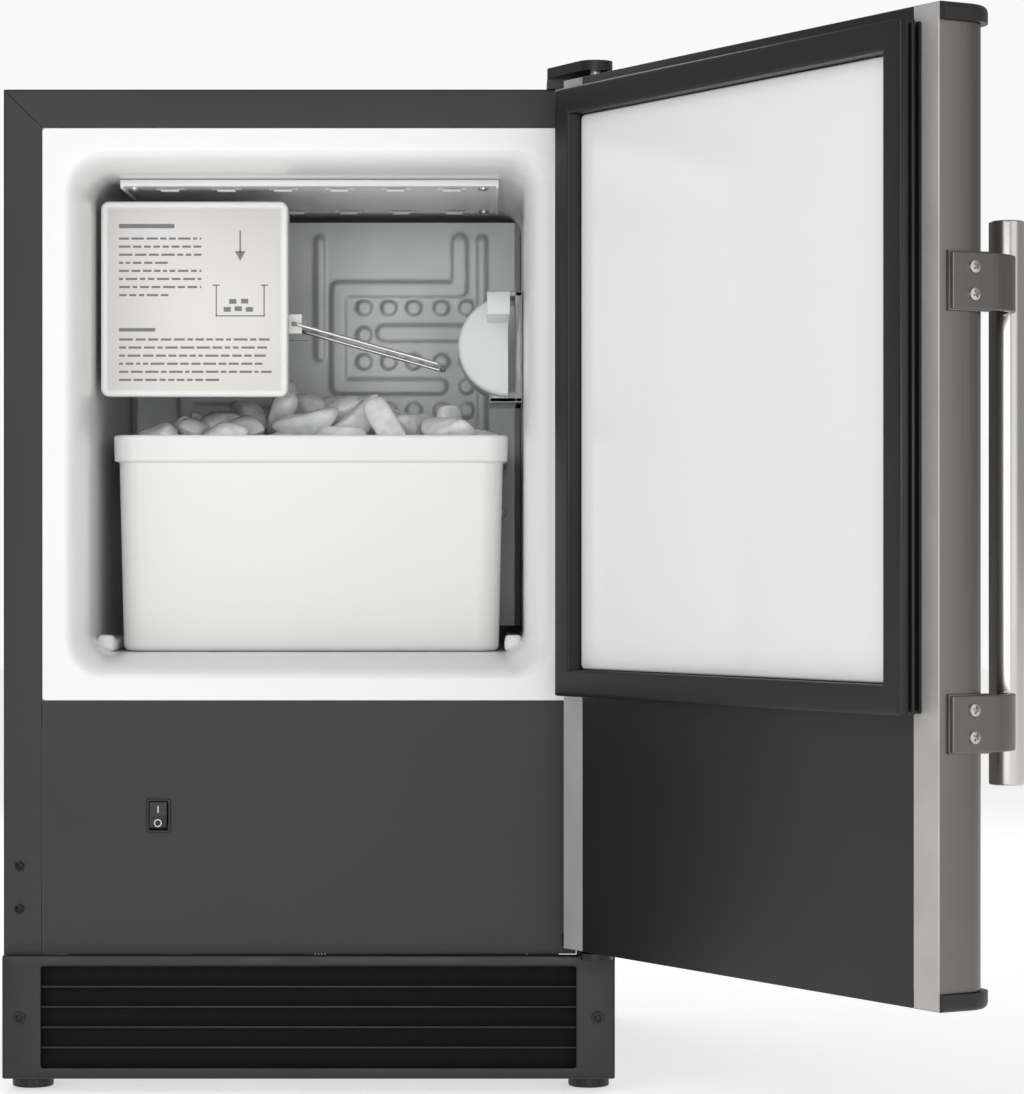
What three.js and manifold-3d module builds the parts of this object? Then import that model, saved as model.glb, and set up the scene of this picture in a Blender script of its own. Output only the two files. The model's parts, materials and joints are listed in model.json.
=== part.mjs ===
// Built-in ice maker of the 15-inch class: a foamed steel cabinet with a hinged door, a crescent-ice
// module above a lift-out bin, and the refrigeration set in the compartment underneath.
// Millimetres, +Z up. While it is put together, X = 0 is the cabinet's middle, Y = 0 its front face with
// +Y to the back, and Z = 0 the floor. The finished group is then moved so that the middle of the foot
// of its whole box is the origin. The door stands open.

import * as THREE from 'three';
import { mergeVertices } from 'three/addons/utils/BufferGeometryUtils.js';
import Module from 'manifold-3d';

const wasm = await Module();
wasm.setup();

// ---- driving dimensions ----

const gap = 0.3; // between pieces that touch
const through = 5; // how far a cutter runs past the face that it cuts

const cabinetWidth = 375.8;
const cabinetDepth = 391;
const cabinetTop = 615.9;
const cabinetUnderside = 8.2;
const sheet = 1.2; // steel sheet of the cabinet and the door
const frontFlange = 23.5; // width of the cabinet's turned-in front edge
const grilleTop = 84;
const linerFoot = 240; // lower edge of the liner's front flange
const deckTop = 226; // roof of the machine compartment

const insulationLeft = 49.9;
const insulationRight = 55.4;
const insulationTop = 50.2;
const insulationBack = 51;
const insulationFloor = 42.2;
const linerWall = 2;
const linerBorder = 13.8; // flat part of the liner's front edge
const mouthDepth = 43; // the mouth narrows over this depth
const mouthCorner = 24;
const cavityCorner = 14;

const doorSlack = 0.4; // the door is this much narrower than the cabinet
const doorFoot = 90.2;
const doorRise = 2; // the door's top stands above the cabinet's
const doorThickness = 36;
const doorCorner = 16.5;
const doorFlange = 21.8;
const doorCapHeight = 9.3;
const doorCapProud = 0.3;
const doorOpenAngle = 120.3; // degrees from closed
const gasketThickness = 14.7;
const gasketWidth = 16;
const gasketSide = 13.4; // from the door's side edge
const gasketFoot = 244.6;
const gasketTopDrop = 8.1; // from the door's top
const whitePanelProud = 5.9;
const hingeInset = 12.65; // hinge axis from the door's side edge
const hingeOffset = 14.9; // hinge axis in front of the door's inner plane
const hingePinRadius = 3.2;
const hingeNoseRadius = 10.6;
const hingeReach = 6.2; // how deep each pin sits in its end cap

const handleRadius = 9.6;
const handleInset = 30.4; // from the free edge of the door
const handleStandOff = 32.5; // from the door's front to the handle's axis
const handleFoot = 205.5;
const handleTop = 508.4;
const handleBracketHeight = 30;
const handleBracketFeet = [225.5, 457.4];
const handleStrap = 4;
const handleStrapStart = 6; // behind the door's inner plane
const handleStrapBend = 30.4;
const handleStrapEnd = 5.8; // outer face of the strap's end behind the tube's axis

const binSideGap = 9.7;
const binFront = 68;
const binHeight = 137.2;
const binRimHeight = 16.5;
const binRimProud = 3;
const binTaper = 3;
const binWall = 2.5;
const binCorner = 14;
const binBackGap = 8.5;
const guideHeight = 10.8;
const guideWidth = 12;

const moduleSideGap = 3.7;
const moduleWidth = 117.9;
const moduleHeight = 123;
const moduleFoot = 429.7;
const coverFront = 60;
const coverDepth = 12;
const coverRim = 4;
const coverRecess = 1;
const housingDepth = 46;
const housingWall = 2;
const mouldWidth = 88;
const mouldLength = 146;
const mouldDepth = 56;
const mouldInset = 6; // behind the module's left side
const ejectorHeight = 503;
const pocketRadius = 27;
const pocketCount = 7;
const pocketDivider = 2.4;
const mouldEndWall = 4;
const mouldCheek = 12; // half width of the shaft bearing's cheek
const shaftRadius = 5;
const bladeLength = 24;
const bladeWidth = 6;
const bladeThickness = 3;
const bladeParkAngle = 118; // degrees up from the side where the ice leaves

const armRadius = 1.1;
const armPivotInset = 3; // from the module's right side
const armPivotHeight = 476.4;
const armReach = 98.5;
const armSlope = 15.7; // degrees below level
const armFront = 68;
const armBack = 146;
const armBend = 4.5;

const trayLeftGap = 17;
const trayRightGap = 15.5;
const trayFront = 48;
const trayDepth = 182;
const trayThickness = 4.4;
const traySlotCount = 6;
const traySlotPitch = 35.7;
const traySlotWidth = 18.8;
const traySlotDepth = 15;

const plateSideGap = 4.3;
const plateClear = 38.5; // behind the evaporator plate
const plateThickness = 3;
const plateFoot = 281;
const plateTopGap = 5;

const scoopRadius = 31.8;
const scoopWall = 2;
const scoopFront = 85;
const scoopLength = 104;
const scoopHeight = 462.8;
const scoopWallGap = 9.8; // from the cavity's right wall to the scoop's open side
const scoopHandleWidth = 14.3;
const scoopHandleFront = 20;
const holderThickness = 5;
const holderLip = 3.6;
const holderFront = 92;
const holderLength = 92;

const switchX = -92.5;
const switchHeight = 169.2;
const bezelWidth = 14.7;
const bezelHeight = 20.6;
const bezelProud = 1.6;
const rockerWidth = 10.6;
const rockerHeight = 15.5;
const rockerTilt = 10; // degrees either way
const rockerProud = 2;

const grilleProud = 7;
const grilleSideRail = 23.9;
const grilleRail = 6.8;
const grilleBlades = 4;
const grilleBladeThickness = 1.2;
const grilleScrewInset = 10.4;
const grilleScrewHeight = 45.5;

const footRadius = 12.7;
const footPad = 7.6;
const footStemRadius = 4;
const footStemTop = 36;
const footInset = 15.4; // from the cabinet's side to the foot's axis
const footFromEnd = 24; // from the cabinet's front and back
const panSheet = 1.5;
const panLip = 14;

const coilWidth = 206;
const coilHeight = 124;
const coilDepth = 34;
const coilFront = 22;
const coilMiddleX = -48;
const fanRadius = 52;
const fanBladeCount = 5;
const compressorX = 78;
const compressorY = 266;
const compressorRadius = 62;
const compressorHeight = 158;
const grommetHeight = 24;
const pipeRadius = 4;
const fillTubeRadius = 5;

// ---- places worked out from them ----

const halfWidth = cabinetWidth / 2;
const windowEdge = halfWidth - frontFlange;
const windowTop = cabinetTop - frontFlange;
const inside = halfWidth - sheet - gap;
const floorTop = cabinetUnderside + panSheet;

const cavity = {
  left: -halfWidth + insulationLeft,
  right: halfWidth - insulationRight,
  floor: deckTop + insulationFloor,
  ceiling: cabinetTop - insulationTop,
  back: cabinetDepth - insulationBack,
};
const mouth = {
  left: -windowEdge + gap + linerBorder,
  right: windowEdge - gap - linerBorder,
  floor: linerFoot + linerBorder,
  ceiling: windowTop - gap - linerBorder,
};
const module = {
  left: cavity.left + moduleSideGap,
  right: cavity.left + moduleSideGap + moduleWidth,
  housingFront: coverFront + coverDepth + gap,
  housingBack: coverFront + coverDepth + gap + housingDepth,
};
const mould = {
  left: module.left + mouldInset,
  right: module.left + mouldInset + mouldWidth,
  front: module.housingBack + gap,
  back: module.housingBack + gap + mouldLength,
  axisX: module.left + mouldInset + mouldWidth / 2,
};
const armPivotX = module.right + armPivotInset;
const scoopX = cavity.right - scoopWallGap;
const fillTubeHeight = cavity.ceiling - trayThickness - gap - fillTubeRadius - 8;
const plateBack = cavity.back - plateClear;
const plateFront = plateBack - plateThickness;
const chaseY = (cavity.back + linerWall + cabinetDepth - sheet) / 2; // middle of the rear insulation

const doorHalf = (cabinetWidth - doorSlack) / 2;
const doorTop = cabinetTop + doorRise;
const doorPlane = -gasketThickness - gap - 0.5; // inner face of the closed door
const doorFront = doorPlane - doorThickness;
const hingeX = doorHalf - hingeInset;
const hingeY = doorPlane - hingeOffset;
const handleX = -doorHalf + handleInset;
const handleY = doorFront - handleStandOff;

// ---- finishes ----

const finish = (color, roughness, metalness = 0) =>
  new THREE.MeshStandardMaterial({ color, roughness, metalness });

const charcoalPaint = finish(0x4a4a4a, 0.6, 0.2);
const blackPlastic = finish(0x1d1d1e, 0.5);
const whitePlastic = finish(0xe9e9e7, 0.35);
const greyPlastic = finish(0xdcdad5, 0.5);
const clearPlastic = finish(0xd6dbdc, 0.15);
const galvanised = finish(0x9da0a0, 0.45, 0.8);
const brushedSteel = finish(0xb4b2ae, 0.35, 0.9);
const castAluminium = finish(0x9b9c9b, 0.5, 0.8);
const rollBondAluminium = finish(0xa5a8a7, 0.45, 0.7);
const copper = finish(0xb06a45, 0.35, 0.9);
const blackEnamel = finish(0x151516, 0.4, 0.1);
const darkRubber = finish(0x2c2c2c, 0.8);
const foam = finish(0xd8c48a, 0.9);

// ---- shaping ----

const assembly = new THREE.Group();

// A closed three.js geometry as a solid that can be joined and cut.
function solid(geometry) {
  geometry.deleteAttribute('normal');
  geometry.deleteAttribute('uv');
  const merged = mergeVertices(geometry);
  const vertProperties = new Float32Array(merged.attributes.position.array);
  const triVerts = new Uint32Array(merged.index.array);
  return new wasm.Manifold(new wasm.Mesh({ numProp: 3, vertProperties, triVerts }));
}

function join(first, ...others) {
  return others.reduce((whole, other) => whole.add(other), first);
}

function cut(first, ...others) {
  return others.reduce((whole, other) => whole.subtract(other), first);
}

// Adds one named piece to its group.
function add(name, material, shape, parent = assembly) {
  const { vertProperties, triVerts } = shape.getMesh();
  const geometry = new THREE.BufferGeometry();
  geometry.setAttribute('position', new THREE.BufferAttribute(vertProperties, 3));
  geometry.setIndex(new THREE.BufferAttribute(triVerts, 1));
  geometry.computeVertexNormals();
  const mesh = new THREE.Mesh(geometry, material);
  mesh.name = name;
  parent.add(mesh);
}

function box(x0, x1, y0, y1, z0, z1) {
  const geometry = new THREE.BoxGeometry(x1 - x0, y1 - y0, z1 - z0);
  geometry.translate((x0 + x1) / 2, (y0 + y1) / 2, (z0 + z1) / 2);
  return solid(geometry);
}

// A round bar along one axis; a and b are its middle in the other two axes, in X, Y, Z order.
function bar(axis, radius, from, to, a, b, sides = 20) {
  const geometry = new THREE.CylinderGeometry(radius, radius, to - from, sides);
  const middle = (from + to) / 2;
  if (axis === 'x') {
    geometry.rotateZ(Math.PI / 2);
    geometry.translate(middle, a, b);
  } else if (axis === 'y') {
    geometry.translate(a, middle, b);
  } else {
    geometry.rotateX(Math.PI / 2);
    geometry.translate(a, b, middle);
  }
  return solid(geometry);
}

// An outline carried along one axis. It is drawn in X, Y for axis z, in X, Z for y and in Y, Z for x.
function prism(shape, axis, from, to, curveSegments = 5) {
  const options = { depth: to - from, bevelEnabled: false, curveSegments };
  const geometry = new THREE.ExtrudeGeometry(shape, options);
  if (axis === 'z') {
    geometry.translate(0, 0, from);
  } else if (axis === 'y') {
    geometry.rotateX(Math.PI / 2);
    geometry.translate(0, to, 0);
  } else {
    geometry.rotateX(Math.PI / 2);
    geometry.rotateZ(Math.PI / 2);
    geometry.translate(from, 0, 0);
  }
  return solid(geometry);
}

function outline(points) {
  return new THREE.Shape(points.map(([x, y]) => new THREE.Vector2(x, y)));
}

function roundedRectangle(x0, x1, y0, y1, radius) {
  const shape = new THREE.Shape();
  shape.moveTo(x0 + radius, y0);
  shape.lineTo(x1 - radius, y0);
  shape.absarc(x1 - radius, y0 + radius, radius, -Math.PI / 2, 0, false);
  shape.lineTo(x1, y1 - radius);
  shape.absarc(x1 - radius, y1 - radius, radius, 0, Math.PI / 2, false);
  shape.lineTo(x0 + radius, y1);
  shape.absarc(x0 + radius, y1 - radius, radius, Math.PI / 2, Math.PI, false);
  shape.lineTo(x0, y0 + radius);
  shape.absarc(x0 + radius, y0 + radius, radius, Math.PI, 1.5 * Math.PI, false);
  return shape;
}

// The corner points of a rounded rectangle, as the ring of a loft.
function ring(x0, x1, y0, y1, radius, place) {
  const steps = 4;
  const centres = [
    [x1 - radius, y0 + radius, -Math.PI / 2],
    [x1 - radius, y1 - radius, 0],
    [x0 + radius, y1 - radius, Math.PI / 2],
    [x0 + radius, y0 + radius, Math.PI],
  ];
  const points = [];
  for (const [x, y, start] of centres) {
    for (let i = 0; i <= steps; i += 1) {
      const angle = start + (i / steps) * (Math.PI / 2);
      points.push(new THREE.Vector3(x + radius * Math.cos(angle), y + radius * Math.sin(angle), place));
    }
  }
  return points;
}

// A closed skin over rings of equal length, from the lowest to the highest, each end capped flat.
function loft(rings) {
  const count = rings[0].length;
  const positions = rings.flat().flatMap((point) => [point.x, point.y, point.z]);
  const index = [];
  for (let r = 0; r < rings.length - 1; r += 1) {
    for (let i = 0; i < count; i += 1) {
      const a = r * count + i;
      const b = r * count + ((i + 1) % count);
      index.push(a, b, a + count, b, b + count, a + count);
    }
  }
  const last = (rings.length - 1) * count;
  for (let i = 1; i < count - 1; i += 1) {
    index.push(0, i + 1, i);
    index.push(last, last + i, last + i + 1);
  }
  const geometry = new THREE.BufferGeometry();
  geometry.setAttribute('position', new THREE.Float32BufferAttribute(positions, 3));
  geometry.setIndex(index);
  return geometry;
}

// A turned piece about an upright axis; the profile's points are [radius, height], axis to axis, upwards.
function turned(profile, x, y, sides = 20) {
  const geometry = new THREE.LatheGeometry(profile.map(([r, z]) => new THREE.Vector2(r, z)), sides);
  geometry.rotateX(Math.PI / 2);
  geometry.translate(x, y, 0);
  return solid(geometry);
}

// A path through a list of points, which an extrusion follows point by point.
class Route extends THREE.Curve {
  constructor(points) {
    super();
    this.points = points;
  }

  getPoint(t) {
    const place = t * (this.points.length - 1);
    const i = Math.min(Math.floor(place), this.points.length - 2);
    return this.points[i].clone().lerp(this.points[i + 1], place - i);
  }

  getPointAt(t) {
    return this.getPoint(t);
  }

  getTangentAt(t) {
    return this.getTangent(t);
  }
}

// A pipe or wire through its corners, each corner rounded by the bend radius.
function pipe(corners, radius, bend, sides = 8) {
  const bendSteps = 4;
  const at = corners.map(([x, y, z]) => new THREE.Vector3(x, y, z));
  const points = [at[0]];
  for (let i = 1; i < at.length - 1; i += 1) {
    const before = at[i - 1].clone().sub(at[i]).normalize();
    const after = at[i + 1].clone().sub(at[i]).normalize();
    const half = (Math.PI - before.angleTo(after)) / 2;
    const reach = bend * Math.tan(half);
    const start = at[i].clone().addScaledVector(before, reach);
    const end = at[i].clone().addScaledVector(after, reach);
    const turn = new THREE.QuadraticBezierCurve3(start, at[i], end);
    points.push(...turn.getPoints(bendSteps));
  }
  points.push(at[at.length - 1]);
  const section = new THREE.Shape();
  section.absarc(0, 0, radius, 0, 2 * Math.PI, false);
  const options = { steps: points.length - 1, extrudePath: new Route(points), curveSegments: sides / 2 };
  return solid(new THREE.ExtrudeGeometry(section, options));
}

// ---- cabinet ----

function cabinetWrap() {
  const outer = box(-halfWidth, halfWidth, 0, cabinetDepth, cabinetUnderside, cabinetTop);
  const hollow = box(
    -halfWidth + sheet, halfWidth - sheet,
    sheet, cabinetDepth + through,
    cabinetUnderside - through, cabinetTop - sheet,
  );
  const window = box(
    -windowEdge, windowEdge,
    -through, through,
    cabinetUnderside - through, windowTop,
  );
  const holes = frontScrews.map(([x, z]) => bar('y', screwHole, -through, through, x, z, 10));
  return cut(outer, hollow, window, ...holes);
}

const screwHole = 1.9;
const grilleScrewX = halfWidth - grilleScrewInset;
const spareScrewInset = 9.9;
const spareHingeScrewX = -halfWidth + spareScrewInset;
const hingeScrewHeights = [111.9, 138.2];
const frontScrews = [
  [-grilleScrewX, grilleScrewHeight],
  [grilleScrewX, grilleScrewHeight],
  ...hingeScrewHeights.map((z) => [spareHingeScrewX, z]),
];

// The cavity's surface, or a surface outside it by the given amount: the mouth narrows to the straight
// part along a quarter of an ellipse.
function cavityForm(outwards, frontAt) {
  const steps = 5;
  const rings = [];
  for (let i = 0; i <= steps; i += 1) {
    const turn = (i / steps) * (Math.PI / 2);
    const part = 1 - Math.sin(turn);
    const place = mouthDepth * (1 - Math.cos(turn));
    const mix = (key) => cavity[key] + (mouth[key] - cavity[key]) * part;
    rings.push(ring(
      mix('left') - outwards, mix('right') + outwards,
      mix('floor') - outwards, mix('ceiling') + outwards,
      cavityCorner + (mouthCorner - cavityCorner) * part + outwards,
      place,
    ));
  }
  if (frontAt < 0) {
    rings.unshift(rings[0].map((point) => point.clone().setZ(frontAt)));
  }
  const last = rings[rings.length - 1];
  rings.push(last.map((point) => point.clone().setZ(cavity.back + outwards)));
  // The rings were drawn in X, Z with the depth as their height.
  const geometry = loft(rings);
  geometry.applyMatrix4(new THREE.Matrix4().set(1, 0, 0, 0, 0, 0, 1, 0, 0, 1, 0, 0, 0, 0, 0, 1));
  const { array } = geometry.index;
  for (let i = 0; i < array.length; i += 3) {
    [array[i], array[i + 1]] = [array[i + 1], array[i]];
  }
  return solid(geometry);
}

const fillRoute = [
  [mould.axisX, chaseY, floorTop + 72],
  [mould.axisX, chaseY, fillTubeHeight],
  [mould.axisX, mould.back + 13, fillTubeHeight],
  [mould.axisX, mould.back + 13, fillTubeHeight - 12],
];
const suctionX = compressorX + 28;
const suctionRoute = [
  [suctionX, plateBack + gap, plateFoot + 18],
  [suctionX, chaseY, plateFoot + 18],
  [suctionX, chaseY, floorTop + 96],
  [suctionX, compressorY + compressorRadius * 0.92, floorTop + 96],
];

const fillTube = (extra) => pipe(fillRoute, fillTubeRadius + extra, 9);
const suctionLine = (extra) => pipe(suctionRoute, pipeRadius + extra, 12);

function innerLiner() {
  const flange = box(
    -windowEdge + gap, windowEdge - gap,
    0, linerWall,
    linerFoot, windowTop - gap,
  );
  const shell = join(flange, cavityForm(linerWall, 0));
  return cut(shell, cavityForm(0, -through), fillTube(gap), suctionLine(gap));
}

function cabinetFoam() {
  const front = linerWall + gap;
  const back = cabinetDepth - sheet - gap;
  const block = box(-inside, inside, front, back, deckTop + gap, cabinetTop - sheet - gap);
  return cut(block, cavityForm(linerWall + gap, 0), fillTube(gap), suctionLine(gap));
}

function machineDeck() {
  const front = linerWall + gap;
  const back = cabinetDepth - sheet - gap;
  const plate = box(-inside, inside, front, back, deckTop - sheet, deckTop);
  return cut(plate, fillTube(gap), suctionLine(gap));
}

function rearPanel() {
  const back = cabinetDepth;
  return box(-inside, inside, back - sheet, back, deckTop - sheet, cabinetTop - sheet - gap);
}

function lowerFrontPanel() {
  const edge = windowEdge - gap;
  const plate = box(-edge, edge, 0, sheet, grilleTop + gap, linerFoot - gap);
  const lipDepth = 12;
  const lip = box(-edge, edge, 0, lipDepth, grilleTop + gap, grilleTop + gap + sheet);
  const hole = box(
    switchX - bezelWidth / 2 + 0.7, switchX + bezelWidth / 2 - 0.7,
    -through, through,
    switchHeight - bezelHeight / 2 + 0.7, switchHeight + bezelHeight / 2 - 0.7,
  );
  return cut(join(plate, lip), hole);
}

function toeGrille() {
  const foot = cabinetUnderside;
  const outer = box(-halfWidth, halfWidth, -grilleProud, -gap, foot, grilleTop);
  const openFoot = foot + grilleRail;
  const openTop = grilleTop - grilleRail;
  const edge = halfWidth - grilleSideRail;
  let grille = cut(outer, box(-edge, edge, -grilleProud - through, through, openFoot, openTop));
  const pitch = (openTop - openFoot) / (grilleBlades + 1);
  for (let i = 1; i <= grilleBlades; i += 1) {
    const z = openFoot + i * pitch;
    const half = grilleBladeThickness / 2;
    grille = grille.add(box(-edge - 1, edge + 1, -grilleProud + 1, -1, z - half, z + half));
  }
  for (const x of [-grilleScrewX, grilleScrewX]) {
    const sink = bar('y', 3.6, -grilleProud - 1, -grilleProud + 2.4, x, grilleScrewHeight, 14);
    const hole = bar('y', screwHole, -grilleProud - 1, through, x, grilleScrewHeight, 10);
    grille = cut(grille, sink, hole);
  }
  return grille;
}

function bottomPan() {
  const front = sheet + gap;
  const back = cabinetDepth - gap;
  const lipTop = floorTop + panLip;
  const outer = box(-inside, inside, front, back, cabinetUnderside, lipTop);
  const inner = box(
    -inside + panSheet, inside - panSheet,
    front + panSheet, back - panSheet,
    floorTop, lipTop + through,
  );
  let pan = cut(outer, inner);
  for (const [, x, y] of footPlaces) {
    pan = pan.add(bar('z', footStemRadius + 4, floorTop - 0.5, floorTop + 16, x, y, 16));
    pan = pan.subtract(bar('z', footStemRadius + 0.4, 0, floorTop + 16 + through, x, y, 16));
  }
  const intake = box(coilLeft, coilRight, front - 1, front + panSheet + 1, floorTop + 2, lipTop + 1);
  return cut(pan, intake);
}

const footX = halfWidth - footInset;
const footPlaces = [
  ['front_left', -footX, footFromEnd],
  ['front_right', footX, footFromEnd],
  ['rear_left', -footX, cabinetDepth - footFromEnd],
  ['rear_right', footX, cabinetDepth - footFromEnd],
];

function foot(x, y) {
  const edge = 1.2;
  return turned([
    [0, 0], [footRadius - edge, 0], [footRadius, edge], [footRadius, footPad - 1],
    [footRadius - 2, footPad], [footStemRadius, footPad], [footStemRadius, footStemTop],
    [0, footStemTop],
  ], x, y, 20);
}

// ---- switch ----

function switchBezel() {
  const flange = box(
    switchX - bezelWidth / 2, switchX + bezelWidth / 2,
    -bezelProud, -gap,
    switchHeight - bezelHeight / 2, switchHeight + bezelHeight / 2,
  );
  const bodyX = bezelWidth / 2 - 1;
  const bodyZ = bezelHeight / 2 - 1;
  const body = box(
    switchX - bodyX, switchX + bodyX,
    -bezelProud + 0.2, 20,
    switchHeight - bodyZ, switchHeight + bodyZ,
  );
  const wellX = rockerWidth / 2 + 0.3;
  const wellZ = rockerHeight / 2 + 0.9;
  const well = box(
    switchX - wellX, switchX + wellX,
    -bezelProud - 1, 9,
    switchHeight - wellZ, switchHeight + wellZ,
  );
  return cut(join(flange, body), well);
}

// The rocker's face is a shallow V; at rest its upper half is pressed in and lies flat.
function switchRocker() {
  const half = rockerHeight / 2;
  const rise = half * Math.tan(THREE.MathUtils.degToRad(rockerTilt));
  const face = -bezelProud - rockerProud;
  const root = 3.4;
  const shape = outline([
    [face, 0], [face - rise, -half], [0, -half], [root, -half * 0.5],
    [root, half * 0.5], [0, half], [face - rise, half],
  ]);
  const geometry = new THREE.ExtrudeGeometry(shape, { depth: rockerWidth, bevelEnabled: false });
  geometry.rotateX(Math.PI / 2);
  geometry.rotateZ(Math.PI / 2);
  geometry.translate(-rockerWidth / 2, 0, 0);
  geometry.rotateX(-THREE.MathUtils.degToRad(rockerTilt));
  geometry.translate(switchX, 0, switchHeight);
  return solid(geometry);
}

// ---- bin and its guides ----

const bin = {
  left: cavity.left + binSideGap,
  right: cavity.right - binSideGap,
  front: binFront,
  back: plateFront - binBackGap,
  foot: cavity.floor + gap,
};
bin.top = bin.foot + binHeight;

function binRing(inwards, z, corner) {
  return ring(
    bin.left + inwards, bin.right - inwards,
    bin.front + inwards, bin.back - inwards,
    corner, z,
  );
}

function iceBin() {
  const wide = binRimProud;
  const narrow = binRimProud + binTaper;
  const body = solid(loft([
    binRing(narrow, bin.foot, binCorner),
    binRing(wide, bin.top, binCorner),
  ]));
  const rim = solid(loft([
    binRing(0.6, bin.top - binRimHeight, binCorner),
    binRing(0, bin.top, binCorner),
  ]));
  const hollow = solid(loft([
    binRing(narrow + binWall, bin.foot + binWall, binCorner - binWall),
    binRing(wide + binWall, bin.top, binCorner - binWall),
    binRing(wide + binWall, bin.top + through, binCorner - binWall),
  ]));
  return cut(join(body, rim), hollow);
}

function binGuide(side) {
  const from = side < 0 ? cavity.left : bin.right - binRimProud - binTaper + 3;
  const to = side < 0 ? bin.left + binRimProud + binTaper - 3 : cavity.right;
  const front = mouthDepth + 17;
  const back = plateFront - 4;
  const edge = cavity.floor + guideHeight;
  const block = box(
    side < 0 ? from : Math.max(from, to - guideWidth), side < 0 ? Math.min(to, from + guideWidth) : to,
    front, back,
    cavity.floor, edge,
  );
  return block.intersect(cavityForm(-gap, 0));
}

// ---- ceiling tray ----

function ceilingTray() {
  const left = cavity.left + trayLeftGap;
  const right = cavity.right - trayRightGap;
  const top = cavity.ceiling - gap;
  const back = trayFront + trayDepth;
  let tray = box(left, right, trayFront, back, top - trayThickness, top);
  const middle = (left + right) / 2;
  for (let i = 0; i < traySlotCount; i += 1) {
    const x = middle + (i - (traySlotCount - 1) / 2) * traySlotPitch;
    const half = traySlotWidth / 2;
    const slot = [trayFront + 9, back - 22];
    for (const y of slot) {
      tray = tray.subtract(box(x - half, x + half, y, y + traySlotDepth, top - 9, top + 9));
    }
  }
  return tray;
}

// ---- evaporator ----

function evaporatorPlate() {
  const left = cavity.left + plateSideGap;
  const right = cavity.right - plateSideGap;
  const plate = box(left, right, plateFront, plateBack, plateFoot, cavity.ceiling - plateTopGap);
  return cut(plate, fillTube(2));
}

// ---- ice module ----

function moduleCover() {
  const top = moduleFoot + moduleHeight;
  const back = coverFront + coverDepth;
  const corner = 5;
  const body = prism(
    roundedRectangle(module.left, module.right, moduleFoot, top, corner),
    'y', coverFront, back,
  );
  const face = prism(
    roundedRectangle(
      module.left + coverRim, module.right - coverRim,
      moduleFoot + coverRim, top - coverRim, 1.5,
    ),
    'y', coverFront - 1, coverFront + coverRecess,
  );
  const wall = 2.2;
  const hollow = box(
    module.left + wall, module.right - wall,
    coverFront + coverRecess + wall, back + 1,
    moduleFoot + wall, top - wall,
  );
  return cut(body, face, hollow);
}

const housingInset = 2;

function moduleHousing() {
  const left = module.left + housingInset;
  const right = module.right - housingInset;
  const foot = moduleFoot + housingInset;
  const top = moduleFoot + moduleHeight - housingInset;
  const outer = box(left, right, module.housingFront, module.housingBack, foot, top);
  const hollow = box(
    left + housingWall, right - housingWall,
    module.housingFront - 1, module.housingBack - housingWall,
    foot + housingWall, top - housingWall,
  );
  const lugFront = armFront + armBend + 3;
  const lug = box(
    right - 1, armPivotX + 5,
    lugFront, lugFront + 8,
    armPivotHeight - 6, armPivotHeight + 6,
  );
  const pivot = bar('y', armRadius + 0.5, lugFront - 2, lugFront + 10, armPivotX, armPivotHeight, 10);
  const bearing = bar(
    'y', shaftRadius + 0.5,
    module.housingBack - 6, module.housingBack + 6,
    mould.axisX, ejectorHeight, 16,
  );
  return cut(join(cut(outer, hollow), lug), pivot, bearing);
}

function ejectorMotor() {
  const y = module.housingFront + 3;
  const z = moduleFoot + 34;
  const can = bar('y', 20, y, y + 26, mould.axisX + 30, z, 24);
  const flange = box(mould.axisX + 4, mould.axisX + 56, y + 26, y + 29, z - 24, z + 24);
  return join(can, flange.add(bar('y', 20, y + 20, y + 28, mould.axisX + 30, z, 24)));
}

function timingCam() {
  const y = module.housingFront + 20;
  const disc = bar('y', 26, y, y + 6, mould.axisX, ejectorHeight, 32);
  const notch = box(
    mould.axisX - 3, mould.axisX + 3,
    y - 1, y + 7,
    ejectorHeight + 22, ejectorHeight + 30,
  );
  return cut(disc, notch, bar('y', shaftRadius + 0.1, y - 1, y + 7, mould.axisX, ejectorHeight, 16));
}

const pocketLength = (mouldLength - 2 * mouldEndWall - (pocketCount - 1) * pocketDivider) / pocketCount;

// The middle of each pocket along the mould, front to back.
function pocketMiddle(i) {
  return mould.front + mouldEndWall + pocketLength / 2 + i * (pocketLength + pocketDivider);
}

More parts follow.
